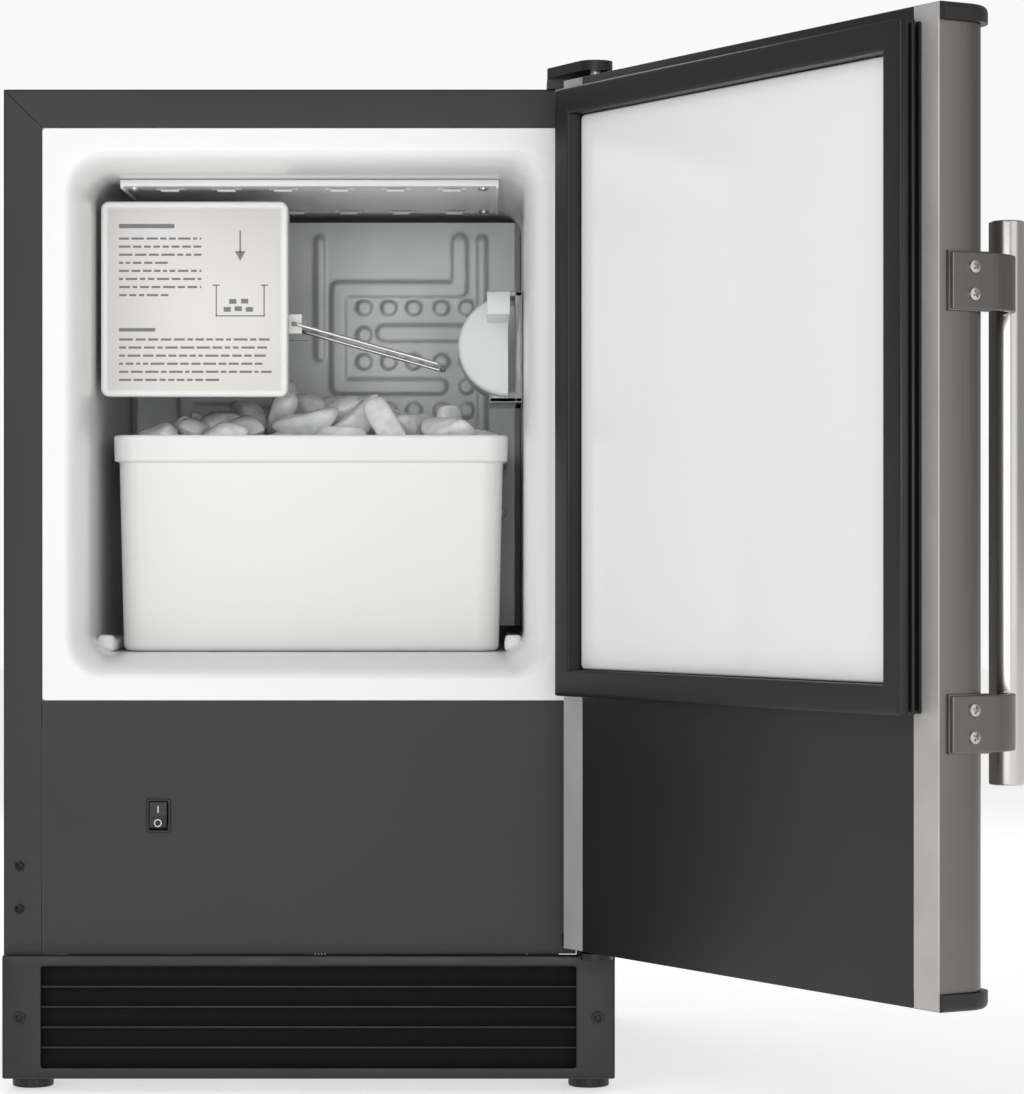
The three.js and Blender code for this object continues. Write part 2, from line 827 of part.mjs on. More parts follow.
function iceMould() {
  const foot = ejectorHeight - mouldDepth;
  let body = box(mould.left, mould.right, mould.front, mould.back, foot, ejectorHeight);
  const chamfer = 20;
  for (const [edge, inner] of [[mould.left, mould.left + chamfer], [mould.right, mould.right - chamfer]]) {
    const corner = outline([[edge, foot - 1], [edge, foot + chamfer], [inner, foot], [inner, foot - 1]]);
    body = body.subtract(prism(corner, 'y', mould.front - 1, mould.back + 1));
  }
  for (const y of [mould.front, mould.back - mouldEndWall]) {
    const wallTop = ejectorHeight + shaftRadius + 5;
    const cheekBox = box(
      mould.axisX - mouldCheek, mould.axisX + mouldCheek,
      y, y + mouldEndWall,
      ejectorHeight - 5, wallTop,
    );
    body = body.add(cheekBox);
  }
  for (let i = 0; i < pocketCount; i += 1) {
    const from = pocketMiddle(i) - pocketLength / 2;
    const pocket = bar('y', pocketRadius, from, from + pocketLength, mould.axisX, ejectorHeight, 24);
    body = body.subtract(pocket);
  }
  // The dividers are lower than the rim, so that water runs from pocket to pocket under the shaft.
  const overflow = box(
    mould.axisX - 9, mould.axisX + 9,
    mould.front + mouldEndWall, mould.back - mouldEndWall,
    ejectorHeight - 12, ejectorHeight + 1,
  );
  const bearing = bar(
    'y', shaftRadius + 0.5,
    mould.front - 1, mould.back + 1,
    mould.axisX, ejectorHeight, 16,
  );
  body = cut(body, overflow, bearing);
  const earDepth = 18;
  for (const y of [mould.front + 14, mould.back - 14 - earDepth]) {
    const ear = box(
      cavity.left + gap, mould.left + 1,
      y, y + earDepth,
      ejectorHeight - 26, ejectorHeight - 4,
    );
    body = body.add(ear);
  }
  const lug = box(
    mould.right - 1, armPivotX + 5,
    armBack + armBend + 1.5, armBack + armBend + 7.5,
    armPivotHeight - 6, armPivotHeight + 6,
  );
  const pivot = bar('y', armRadius + 0.5, armBack, armBack + 20, armPivotX, armPivotHeight, 10);
  return cut(body.add(lug), pivot);
}

function ejectorShaft() {
  const front = module.housingFront + 10;
  let shaft = bar('y', shaftRadius, front, mould.back + 2, mould.axisX, ejectorHeight, 16);
  const collar = bar('y', shaftRadius - 1, front - 4, front + 1, mould.axisX, ejectorHeight, 16);
  shaft = shaft.add(collar);
  for (let i = 0; i < pocketCount; i += 1) {
    const geometry = new THREE.BoxGeometry(bladeLength, bladeWidth, bladeThickness);
    geometry.translate(bladeLength / 2, 0, 0);
    geometry.rotateY(-THREE.MathUtils.degToRad(bladeParkAngle));
    geometry.translate(mould.axisX, pocketMiddle(i), ejectorHeight);
    shaft = shaft.add(solid(geometry));
  }
  return shaft;
}

function iceStripper() {
  const foot = ejectorHeight + gap;
  const thickness = 3;
  const inner = mould.axisX + shaftRadius + 4;
  const outer = mould.right + 4;
  const front = mould.front + mouldEndWall + 1;
  const back = mould.back - mouldEndWall - 1;
  let plate = box(inner, outer, front, back, foot, foot + thickness);
  plate = plate.add(box(mould.right + gap, outer, front, back, foot - 12, foot + thickness));
  for (let i = 0; i < pocketCount; i += 1) {
    const half = bladeWidth / 2 + 2;
    const y = pocketMiddle(i);
    const reach = mould.axisX + bladeLength + 2.5;
    plate = plate.subtract(box(inner - 1, reach, y - half, y + half, foot - 1, foot + thickness + 1));
  }
  const room = box(
    mould.axisX - mouldCheek - 1, mould.axisX + mouldCheek + 1,
    mould.front, mould.front + mouldEndWall + 1.2,
    foot - 1, foot + 30,
  );
  return cut(plate, room);
}

function fillCup() {
  const left = mould.axisX - 18;
  const right = mould.axisX + 18;
  const front = mould.back + gap + 2;
  const back = front + 24;
  const foot = ejectorHeight + gap;
  const top = fillTubeHeight - 15;
  const wall = 2;
  const cup = cut(
    box(left, right, front, back, foot, top),
    box(left + wall, right - wall, front + wall, back - wall, foot + wall, top + through),
  );
  const spoutLeft = mould.axisX - 27;
  const spoutRight = mould.axisX - 13.5;
  const spout = box(spoutLeft, spoutRight, mould.back - 7.5, front + 1, foot, foot + 8);
  const channel = box(
    spoutLeft + wall, spoutRight - wall,
    mould.back - 9, front + wall + 2,
    foot + wall, foot + 9,
  );
  const bridge = box(spoutLeft, left + 1, front, front + 8, foot, foot + 8);
  const bridgeChannel = box(
    spoutLeft + wall, left + wall + 1,
    front - 1, front + 8 - wall,
    foot + wall, foot + 9,
  );
  return cut(join(cup, spout, bridge), channel, bridgeChannel);
}

function shutoffArm() {
  const slope = THREE.MathUtils.degToRad(armSlope);
  const tipX = armPivotX + armReach * Math.cos(slope);
  const tipZ = armPivotHeight - armReach * Math.sin(slope);
  return pipe([
    [armPivotX, armFront + armBend + 14, armPivotHeight],
    [armPivotX, armFront, armPivotHeight],
    [tipX, armFront, tipZ],
    [tipX, armBack, tipZ],
    [armPivotX, armBack, armPivotHeight],
    [armPivotX, armBack + armBend + 10, armPivotHeight],
  ], armRadius, armBend);
}

// ---- scoop and its holder ----

function iceScoop() {
  const back = scoopFront + scoopLength;
  const halfDisc = (radius) => {
    const shape = new THREE.Shape();
    shape.absarc(scoopX, scoopHeight, radius, Math.PI / 2, 1.5 * Math.PI, false);
    return shape;
  };
  const bowl = prism(halfDisc(scoopRadius), 'y', scoopFront, back, 14);
  const hollow = prism(
    outline([[scoopX + 1, scoopHeight - 50], [scoopX + 1, scoopHeight + 50], [scoopX, scoopHeight]]),
    'y', scoopFront + scoopWall, back + 1,
  );
  const inner = prism(halfDisc(scoopRadius - scoopWall), 'y', scoopFront + scoopWall, back + 1, 14);
  // The mouth is cut back on a slant, from the open side to the bowl's far side.
  const mouthCut = prism(outline([
    [scoopX - scoopRadius - 1, back - 26],
    [scoopX - scoopRadius - 1, back + 1],
    [scoopX + 1, back + 1],
    [scoopX + 1, back],
  ]), 'z', scoopHeight - 60, scoopHeight + 60);
  const handleTopZ = scoopHeight + 31;
  const root = scoopHeight + 14;
  const front = scoopHandleFront;
  const strap = 3;
  const handle = prism(outline([
    [scoopFront + 1, root], [scoopFront - 26, handleTopZ - 9], [front + 9, handleTopZ - strap],
    [front + 5, handleTopZ - strap - 1], [front + strap, handleTopZ - 15], [front, handleTopZ - 15],
    [front, handleTopZ - 4], [front + 4, handleTopZ], [front + 12, handleTopZ],
    [scoopFront - 24, handleTopZ - 5.5], [scoopFront + 1, root + 5],
  ]), 'x', scoopX - 13.3, scoopX - 13.3 + scoopHandleWidth);
  return join(cut(bowl, inner, hollow, mouthCut), handle);
}

function scoopHolder() {
  const wallSide = cavity.right - gap;
  const plateSide = wallSide - holderThickness;
  const foot = scoopHeight - scoopRadius - gap - holderLip;
  const top = scoopHeight + scoopRadius + gap + holderLip;
  const back = holderFront + holderLength;
  const plate = box(plateSide, wallSide, holderFront, back, foot, top);
  const lowerLip = box(scoopX - 12, wallSide, holderFront, back, foot, foot + holderLip);
  const upperLip = box(scoopX - 7, wallSide, holderFront, back, top - holderLip, top);
  return join(plate, lowerLip, upperLip);
}

// ---- machine compartment ----

const coilLeft = coilMiddleX - coilWidth / 2;
const coilRight = coilMiddleX + coilWidth / 2;
const coilFoot = floorTop + 8;
const coilTop = coilFoot + coilHeight;
const coilBack = coilFront + coilDepth;
const fanHeight = coilFoot + coilHeight / 2;

function condenser() {
  let block = box(coilLeft, coilRight, coilFront, coilBack, coilFoot, coilTop);
  const slotCount = 12;
  const pitch = coilWidth / slotCount;
  for (let i = 0; i < slotCount; i += 1) {
    const x = coilLeft + (i + 0.5) * pitch;
    block = block.subtract(box(x - 3, x + 3, coilFront - 1, coilFront + 8, coilFoot + 5, coilTop - 5));
  }
  const legs = [coilLeft + 12, coilRight - 12];
  for (const x of legs) {
    const leg = box(x - 8, x + 8, coilFront + 6, coilBack - 6, floorTop + gap, coilFoot + 1);
    block = block.add(leg);
  }
  return block;
}

function fanShroud() {
  const front = coilBack + gap;
  const plate = box(coilLeft, coilRight, front, front + 2, floorTop + gap, coilTop);
  const ringWall = bar('y', fanRadius + 6, front + 1, front + 22, coilMiddleX, fanHeight, 32);
  const mouthHole = bar('y', fanRadius + 4, front - 1, front + 23, coilMiddleX, fanHeight, 32);
  return cut(join(plate, ringWall), mouthHole);
}

const fanFront = coilBack + 8;
const fanHubLength = 16;

function fanBlade() {
  const back = fanFront + fanHubLength;
  let fan = bar('y', 13, fanFront, back, coilMiddleX, fanHeight, 20);
  for (let i = 0; i < fanBladeCount; i += 1) {
    const geometry = new THREE.BoxGeometry(fanRadius - 8, 1.8, 30);
    geometry.rotateX(THREE.MathUtils.degToRad(24));
    geometry.translate((fanRadius + 8) / 2, 0, 0);
    geometry.rotateY((i / fanBladeCount) * 2 * Math.PI);
    geometry.translate(coilMiddleX, fanFront + fanHubLength / 2, fanHeight);
    fan = fan.add(solid(geometry));
  }
  const rim = cut(
    bar('y', fanRadius, fanFront - 2, back + 2, coilMiddleX, fanHeight, 32),
    bar('y', 6, fanFront - 3, back + 3, coilMiddleX, fanHeight, 16),
  );
  fan = fan.intersect(rim.add(bar('y', 10, fanFront, back, coilMiddleX, fanHeight, 20)));
  return cut(fan, bar('y', 3.4, fanFront + 4, back + 3, coilMiddleX, fanHeight, 12));
}

function fanMotor() {
  const front = fanFront + fanHubLength + 3;
  const can = bar('y', 25, front, front + 34, coilMiddleX, fanHeight, 24);
  const spindle = bar('y', 3, fanFront + 5, front + 1, coilMiddleX, fanHeight, 12);
  const leg = box(
    coilMiddleX - 18, coilMiddleX + 18,
    front + 12, front + 24,
    floorTop + gap, fanHeight,
  );
  return join(can, spindle, leg);
}

function compressor() {
  const seat = floorTop + gap + grommetHeight;
  const top = seat + compressorHeight;
  const r = compressorRadius;
  const pot = turned([
    [0, seat - 6], [r * 0.6, seat - 6], [r * 0.88, seat + 6], [r * 0.97, seat + 24], [r, seat + 60],
    [r, top - 52], [r * 0.93, top - 30], [r * 0.72, top - 12], [r * 0.4, top - 3], [0, top],
  ], compressorX, compressorY, 24);
  const platform = prism(roundedRectangle(
    compressorX - grommetX - 12, compressorX + grommetX + 12,
    compressorY - grommetY - 12, compressorY + grommetY + 12, 10,
  ), 'z', seat + gap, seat + gap + 3);
  const holes = grommetPlaces.map(([x, y]) => bar('z', 5.3, seat - 2, seat + 8, x, y, 14));
  return cut(join(pot, platform), ...holes);
}

const grommetX = 68;
const grommetY = 50;
const grommetPlaces = [
  [compressorX - grommetX, compressorY - grommetY],
  [compressorX + grommetX, compressorY - grommetY],
  [compressorX - grommetX, compressorY + grommetY],
  [compressorX + grommetX, compressorY + grommetY],
];

function compressorMount(x, y) {
  const foot = floorTop + gap;
  const seat = foot + grommetHeight;
  return turned([
    [0, foot], [9, foot], [10, foot + 8], [8.4, foot + 12], [10, foot + 16], [9, seat],
    [5, seat], [5, seat + 2 * gap + 3], [8, seat + 2 * gap + 3], [7, seat + 7], [0, seat + 7],
  ], x, y, 12);
}

const drierX = coilRight + 44;
const lineLow = coilFoot + 16;
const lineHigh = coilTop - 20;
const drierFront = coilFront + 40;
const drierLength = 92;

function dischargeLine() {
  return pipe([
    [coilRight + gap, coilFront + 17, lineHigh],
    [compressorX, coilFront + 17, lineHigh],
    [compressorX, compressorY - compressorRadius - gap, lineHigh],
  ], pipeRadius - 0.8, 14);
}

function liquidLine() {
  return pipe([
    [coilRight + gap, coilFront + 17, lineLow],
    [drierX, coilFront + 17, lineLow],
    [drierX, drierFront - gap, lineLow],
  ], pipeRadius - 0.8, 12);
}

function filterDrier() {
  const length = drierLength;
  const profile = [[0, 0], [4, 0], [4, 6], [10, 14], [10, length - 14], [3, length - 6], [3, length], [0, length]];
  const geometry = new THREE.LatheGeometry(profile.map(([r, y]) => new THREE.Vector2(r, y)), 20);
  geometry.translate(drierX, drierFront, lineLow);
  return solid(geometry);
}

function waterValve() {
  const x = mould.axisX;
  const body = box(x - 14, x + 14, chaseY - 16, chaseY + 12, floorTop + 26, floorTop + 50);
  const outlet = bar('z', 7, floorTop + 49, floorTop + 72 - gap, x, chaseY, 16);
  const coil = box(x - 42, x - 13, chaseY - 14, chaseY + 8, floorTop + 28, floorTop + 62);
  const inletBar = bar('y', 8, chaseY + 10, cabinetDepth - 1, x, floorTop + 38, 16);
  const bore = bar('y', 5, chaseY + 14, cabinetDepth + 1, x, floorTop + 38, 16);
  const bracket = box(x - 14, x + 14, chaseY - 16, chaseY - 14, floorTop + gap, floorTop + 30);
  return cut(join(body, outlet, coil, inletBar, bracket), bore);
}

function powerInlet() {
  const left = halfWidth - 62;
  const right = left + 34;
  const back = cabinetDepth - 3;
  const foot = floorTop + gap + 20;
  const block = box(left, right, back - 30, back, foot, foot + 28);
  const socket = box(left + 5, right - 5, back - 17, back + 1, foot + 5, foot + 23);
  const bracket = box(left, right, back - 30, back - 28, floorTop + gap, foot + 1);
  return join(cut(block, socket), bracket);
}

// ---- hinges ----

// The outline of a hinge plate: straight behind, tapering forwards to a round nose about the pin.
function hingeOutline(left, right, back) {
  const r = hingeNoseRadius;
  const shape = new THREE.Shape();
  shape.moveTo(left, back);
  shape.lineTo(left, 0);
  shape.lineTo(hingeX - r * Math.cos(Math.PI / 5), hingeY - r * Math.sin(Math.PI / 5));
  shape.absarc(hingeX, hingeY, r, 1.2 * Math.PI, 2 * Math.PI, false);
  shape.lineTo(hingeX + r, 0);
  shape.lineTo(right, 0);
  shape.lineTo(right, back);
  return shape;
}

const topHingeLeft = halfWidth - 41.3;
const topHingeRight = halfWidth - 1.4;
const topHingeStep = 8;
const topHingeDepth = 46;
const topHingeHeight = 12.7; // highest point above the cabinet
const topHingeNoseFoot = 6.6;

function topHingeBracket() {
  const seat = cabinetTop + gap;
  const foot = prism(
    outline([
      [topHingeLeft, 0.5], [topHingeRight, 0.5],
      [topHingeRight, topHingeDepth], [topHingeLeft, topHingeDepth],
    ]),
    'z', seat, cabinetTop + topHingeStep,
  );
  const nose = prism(
    hingeOutline(topHingeLeft, topHingeRight, 10),
    'z', cabinetTop + topHingeNoseFoot, cabinetTop + topHingeHeight, 10,
  );
  const hole = bar(
    'z', hingePinRadius + gap,
    cabinetTop, cabinetTop + topHingeHeight + through,
    hingeX, hingeY, 16,
  );
  return cut(join(foot, nose), hole);
}

function topHingePin() {
  return bar('z', hingePinRadius, doorTop - hingeReach, cabinetTop + topHingeHeight, hingeX, hingeY, 16);
}

const lowerHingeThickness = 4;
const lowerHingeLeg = 64;

function bottomHingeBracket() {
  const foot = grilleTop + gap;
  const top = foot + lowerHingeThickness;
  const left = halfWidth - 22;
  const right = halfWidth - 1.9;
  const plate = cut(
    prism(hingeOutline(left, right, 10), 'z', foot, top, 10),
    box(0, cabinetWidth, -gap, 40, foot - 1, top + 1),
  );
  const leg = box(left, right, -gap - 3, -gap, foot, foot + lowerHingeLeg);
  const hole = bar('z', hingePinRadius + gap, foot - 1, top + 1, hingeX, hingeY, 16);
  return cut(join(plate, leg), hole);
}

function bottomHingePin() {
  return bar('z', hingePinRadius, grilleTop + gap, doorFoot + hingeReach, hingeX, hingeY, 16);
}

// ---- door, drawn closed ----

function doorOutline(inwards) {
  const edge = doorHalf - inwards;
  const back = doorPlane - inwards;
  const front = doorFront + inwards;
  const r = doorCorner - inwards;
  const shape = new THREE.Shape();
  shape.moveTo(-edge, back);
  shape.lineTo(-edge, front + r);
  shape.absarc(-edge + r, front + r, r, Math.PI, 1.5 * Math.PI, false);
  shape.lineTo(edge - r, front);
  shape.absarc(edge - r, front + r, r, 1.5 * Math.PI, 2 * Math.PI, false);
  shape.lineTo(edge, back);
  return shape;
}

const skinFoot = doorFoot + doorCapHeight + gap;
const skinTop = doorTop - doorCapHeight - gap;

function doorSkin() {
  const outer = prism(doorOutline(0), 'z', skinFoot, skinTop, 6);
  const inner = prism(doorOutline(sheet), 'z', skinFoot - 1, skinTop + 1, 6);
  const edge = doorHalf - doorFlange;
  const window = box(-edge, edge, doorPlane - 4, doorPlane + 1, skinFoot - 1, skinTop + 1);
  return cut(outer, inner, window);
}

function doorFoam() {
  return prism(doorOutline(sheet + gap), 'z', skinFoot, skinTop, 6);
}

function doorInnerPanel() {
  const edge = doorHalf - doorFlange - gap;
  return box(-edge, edge, doorPlane - sheet, doorPlane, skinFoot, skinTop);
}

function doorCap(from, to, boreFrom, boreTo) {
  const cap = prism(doorOutline(-doorCapProud), 'z', from, to, 6);
  const trimmed = cut(cap, box(-halfWidth * 2, halfWidth * 2, doorPlane, doorPlane + 2, from - 1, to + 1));
  return cut(trimmed, bar('z', hingePinRadius + 0.4, boreFrom, boreTo, hingeX, hingeY, 16));
}

function doorGasket() {
  const foot = gasketFoot;
  const top = doorTop - gasketTopDrop;
  const edge = doorHalf - gasketSide;
  const from = doorPlane + gap;
  const to = doorPlane + gasketThickness;
  const w = gasketWidth;
  const outer = box(-edge, edge, from, to, foot, top);
  return cut(outer, box(-edge + w, edge - w, from - 1, to + 1, foot + w, top - w));
}

function doorWhitePanel() {
  const w = gasketWidth + gap;
  const edge = doorHalf - gasketSide - w;
  const from = doorPlane + gap;
  const panel = roundedRectangle(-edge, edge, gasketFoot + w, doorTop - gasketTopDrop - w, 6);
  return prism(panel, 'y', from, doorPlane + whitePanelProud);
}

function handleTube() {
  return bar('z', handleRadius, handleFoot, handleTop, handleX, handleY, 24);
}

// A strap screwed to the door's free edge and bent round the corner to the tube.
function handleBracket(foot) {
  const inner = -doorHalf - doorCapProud - gap;
  const outer = inner - handleStrap;
  const turnX = outer + handleStrapBend;
  const turnY = handleY + handleStrapEnd + handleStrapBend;
  const start = doorPlane - handleStrapStart;
  const shape = new THREE.Shape();
  shape.moveTo(inner, start);
  shape.lineTo(outer, start);
  shape.lineTo(outer, turnY);
  shape.absarc(turnX, turnY, handleStrapBend, Math.PI, 1.49 * Math.PI, false);
  shape.absarc(turnX, turnY, handleStrapBend - handleStrap, 1.49 * Math.PI, Math.PI, true);
  const strap = prism(shape, 'z', foot, foot + handleBracketHeight, 10);
  const room = bar('z', handleRadius + gap, foot - 1, foot + handleBracketHeight + 1, handleX, handleY, 24);
  return cut(strap, room);
}

// ---- assembly ----

add('cabinet_wrap', charcoalPaint, cabinetWrap());
add('rear_panel', galvanised, rearPanel());
add('cabinet_foam', foam, cabinetFoam());
add('machine_deck', galvanised, machineDeck());
add('inner_liner', whitePlastic, innerLiner());
add('lower_front_panel', charcoalPaint, lowerFrontPanel());
add('toe_grille', blackPlastic, toeGrille());
add('base_pan', galvanised, bottomPan());
add('switch_bezel', blackPlastic, switchBezel());
add('switch_rocker', blackPlastic, switchRocker());
for (const [place, x, y] of footPlaces) {
  add(`foot_${place}`, blackPlastic, foot(x, y));
}

add('ice_bin', whitePlastic, iceBin());
add('bin_guide_left', whitePlastic, binGuide(-1));
add('bin_guide_right', whitePlastic, binGuide(1));
add('ceiling_tray', whitePlastic, ceilingTray());
add('evaporator_plate', rollBondAluminium, evaporatorPlate());
add('scoop_holder', clearPlastic, scoopHolder());
add('ice_scoop', clearPlastic, iceScoop());

add('module_cover', greyPlastic, moduleCover());
add('module_housing', whitePlastic, moduleHousing());
add('ejector_motor', galvanised, ejectorMotor());
add('timing_cam', whitePlastic, timingCam());
add('ice_mould', castAluminium, iceMould());
add('ejector_shaft', greyPlastic, ejectorShaft());
add('ice_stripper', whitePlastic, iceStripper());
add('fill_cup', whitePlastic, fillCup());
add('fill_tube', clearPlastic, fillTube(0));
add('shutoff_arm', brushedSteel, shutoffArm());

add('condenser', blackEnamel, condenser());
add('fan_shroud', galvanised, fanShroud());
add('fan_blade', blackPlastic, fanBlade());
add('fan_motor', castAluminium, fanMotor());
add('compressor', blackEnamel, compressor());
grommetPlaces.forEach(([x, y], i) => add(`compressor_mount_${i + 1}`, darkRubber, compressorMount(x, y)));
add('discharge_line', copper, dischargeLine());
add('liquid_line', copper, liquidLine());
add('filter_drier', copper, filterDrier());
add('suction_line', copper, suctionLine(0));
add('water_valve', whitePlastic, waterValve());
add('power_inlet', blackPlastic, powerInlet());

add('top_hinge_bracket', blackPlastic, topHingeBracket());
add('top_hinge_pin', brushedSteel, topHingePin());
add('bottom_hinge_bracket', blackEnamel, bottomHingeBracket());
add('bottom_hinge_pin', brushedSteel, bottomHingePin());

// The door's pieces are drawn closed in a group about the hinge axis, which then swings open.
const doorPieces = new THREE.Group();
doorPieces.position.set(-hingeX, -hingeY, 0);
const door = new THREE.Group();
door.position.set(hingeX, hingeY, 0);
door.rotation.z = THREE.MathUtils.degToRad(doorOpenAngle);
door.add(doorPieces);
assembly.add(door);

const topBore = [doorTop - hingeReach - 0.7, doorTop + 1];
const bottomBore = [doorFoot - 1, doorFoot + hingeReach + 0.7];
add('door_skin', brushedSteel, doorSkin(), doorPieces);
add('door_foam', foam, doorFoam(), doorPieces);
add('door_inner_panel', charcoalPaint, doorInnerPanel(), doorPieces);
add('door_top_cap', blackPlastic, doorCap(doorTop - doorCapHeight, doorTop, ...topBore), doorPieces);
add('door_bottom_cap', blackPlastic, doorCap(doorFoot, doorFoot + doorCapHeight, ...bottomBore), doorPieces);
add('door_gasket', darkRubber, doorGasket(), doorPieces);
add('door_white_panel', whitePlastic, doorWhitePanel(), doorPieces);
add('handle_tube', brushedSteel, handleTube(), doorPieces);
add('handle_bracket_lower', brushedSteel, handleBracket(handleBracketFeet[0]), doorPieces);
add('handle_bracket_upper', brushedSteel, handleBracket(handleBracketFeet[1]), doorPieces);

// Stand the whole on the origin.
assembly.updateMatrixWorld(true);
const bounds = new THREE.Box3().setFromObject(assembly, true);
const foreAndAft = (bounds.min.y + bounds.max.y) / 2;
assembly.position.set(-(bounds.min.x + bounds.max.x) / 2, -foreAndAft, -bounds.min.z);

export default assembly;
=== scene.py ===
"""A built-in crescent-ice maker with its door open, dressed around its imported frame.

Places are in millimetres from the middle of the cabinet's front face at floor level: X to the right, Y to
the back and Z up. The door's pieces are worked out with the door closed and then swung open.
"""

import json

import bmesh
import bpy
import numpy as np
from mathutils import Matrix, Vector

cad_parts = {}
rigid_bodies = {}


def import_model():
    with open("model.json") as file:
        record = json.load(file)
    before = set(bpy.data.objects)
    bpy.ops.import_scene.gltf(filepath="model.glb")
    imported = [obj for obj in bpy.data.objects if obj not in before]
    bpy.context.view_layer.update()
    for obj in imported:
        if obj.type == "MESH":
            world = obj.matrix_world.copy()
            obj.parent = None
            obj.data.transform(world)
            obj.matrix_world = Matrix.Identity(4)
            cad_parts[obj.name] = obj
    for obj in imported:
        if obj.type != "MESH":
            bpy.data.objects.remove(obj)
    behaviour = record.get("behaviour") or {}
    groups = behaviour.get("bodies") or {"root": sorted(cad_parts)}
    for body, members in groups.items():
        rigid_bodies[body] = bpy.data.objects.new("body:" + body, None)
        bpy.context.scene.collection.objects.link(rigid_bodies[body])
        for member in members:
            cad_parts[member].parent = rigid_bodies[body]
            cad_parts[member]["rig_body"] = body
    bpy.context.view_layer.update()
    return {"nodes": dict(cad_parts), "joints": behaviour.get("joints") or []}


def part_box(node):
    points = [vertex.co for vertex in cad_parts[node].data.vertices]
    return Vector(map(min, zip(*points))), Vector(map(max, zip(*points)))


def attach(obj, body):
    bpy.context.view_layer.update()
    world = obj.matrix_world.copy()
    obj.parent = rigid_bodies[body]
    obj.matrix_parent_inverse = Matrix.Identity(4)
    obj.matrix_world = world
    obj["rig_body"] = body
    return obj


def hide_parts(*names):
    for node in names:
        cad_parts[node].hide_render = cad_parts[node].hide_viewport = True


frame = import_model()

# ---- Studio ----
# A plain pale floor that meets a white surround, a broad soft light high on the left, a weaker one on
# the right, one in front, one behind and a level long-lens camera.

wrap_low, wrap_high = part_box("cabinet_wrap")
cabinet_origin = np.array([(wrap_low.x + wrap_high.x) / 2, wrap_low.y, 0.0])


def settled(points):
    """Millimetres in the cabinet's own frame as metres in the shared one: scaled and moved."""
    return cabinet_origin + np.asarray(points, float) / 1000.0


def linear(hex_colour):
    """sRGB hex to linear RGB: each channel below 0.04045 is divided by 12.92, others by a 2.4 power law."""
    srgb = np.array([int(hex_colour[i : i + 2], 16) for i in (0, 2, 4)]) / 255.0
    low = srgb / 12.92
    high = ((srgb + 0.055) / 1.055) ** 2.4
    return [*np.where(srgb <= 0.04045, low, high).tolist(), 1.0]


def add_node(material, kind, inputs=None, **settings):
    """Adds one node to a material; inputs maps a socket's name or number to a value or an output."""
    tree = material.node_tree
    node = tree.nodes.new(kind)
    for key, value in settings.items():
        setattr(node, key, value)
    for key, value in (inputs or {}).items():
        if isinstance(value, bpy.types.NodeSocket):
            tree.links.new(value, node.inputs[key])
        else:
            node.inputs[key].default_value = value
    return node


def remap(material, value, target, source=(0.0, 1.0)):
    """A value's source range carried in proportion to the target range."""
    ranges = {0: value, 1: source[0], 2: source[1], 3: target[0], 4: target[1]}
    return add_node(material, "ShaderNodeMapRange", ranges).outputs[0]


camera_data = bpy.data.cameras.new("camera")
camera_data.lens = 123.2
camera_data.sensor_width = 36.0
camera_data.shift_x = 0.0183
camera_data.shift_y = 0.0128
camera = bpy.data.objects.new("camera", camera_data)
camera.location = settled([112.5, -2302, 325.8])
camera.rotation_euler = (np.pi / 2, 0, 0)
bpy.context.scene.collection.objects.link(camera)
bpy.context.scene.camera = camera
bpy.context.scene.view_settings.view_transform = "Standard"


def area_light(name, place, target, width, height, power):
    """A rectangular lamp at a place, facing a target."""
    data = bpy.data.lights.new(name, "AREA")
    data.shape = "RECTANGLE"
    data.size = width
    data.size_y = height
    data.energy = power
    lamp = bpy.data.objects.new(name, data)
    here = settled(place)
    lamp.location = here
    aim = Vector(settled(target) - here)
    lamp.rotation_euler = aim.to_track_quat("-Z", "Y").to_euler()
    bpy.context.scene.collection.objects.link(lamp)


area_light("key_light", [-900, -1900, 1700], [60, 0, 330], 1.5, 1.2, 11)
area_light("fill_light", [1500, -1500, 900], [150, 0, 300], 1.2, 1.6, 5)
area_light("front_light", [100, -2700, 500], [60, 0, 330], 1.6, 1.0, 15)
area_light("back_light", [-300, 1900, 1500], [0, 200, 330], 1.6, 1.2, 10)

surround = bpy.data.worlds.new("white_surround")
surround.use_nodes = True
ambient = surround.node_tree.nodes["Background"]
ambient.inputs["Color"].default_value = (1, 1, 1, 1)
ray = add_node(surround, "ShaderNodeLightPath")
lighting_strength, backdrop_strength = 0.4, 0.95
brightness = remap(surround, ray.outputs["Is Camera Ray"], (lighting_strength, backdrop_strength))
surround.node_tree.links.new(brightness, ambient.inputs["Strength"])
bpy.context.scene.world = surround

floor_finish = bpy.data.materials.new("pale_studio_floor")
floor_finish.use_nodes = True
floor_surface = floor_finish.node_tree.nodes["Principled BSDF"]
floor_surface.inputs["Base Color"].default_value = linear("f4f4f3")
floor_surface.inputs["Roughness"].default_value = 0.85
floor_surface.inputs["Emission Color"].default_value = (1, 1, 1, 1)
floor_surface.inputs["Emission Strength"].default_value = 0.5
floor_mesh = bpy.data.meshes.new("studio_floor")
floor_reach = 9.0
floor_corners = [(x * floor_reach, y * floor_reach, 0) for x, y in ((-1, -1), (1, -1), (1, 1), (-1, 1))]
floor_mesh.from_pydata(floor_corners, [], [(0, 1, 2, 3)])
floor_mesh.materials.append(floor_finish)
studio_floor = bpy.data.objects.new("studio_floor", floor_mesh)
bpy.context.scene.collection.objects.link(studio_floor)

# ---- Cabinet wrap ----
# One sheet of steel folded over the top and both sides, its front edge turned in and mitred at the two
# upper corners. Powder coated charcoal, with the coat's fine pebble.


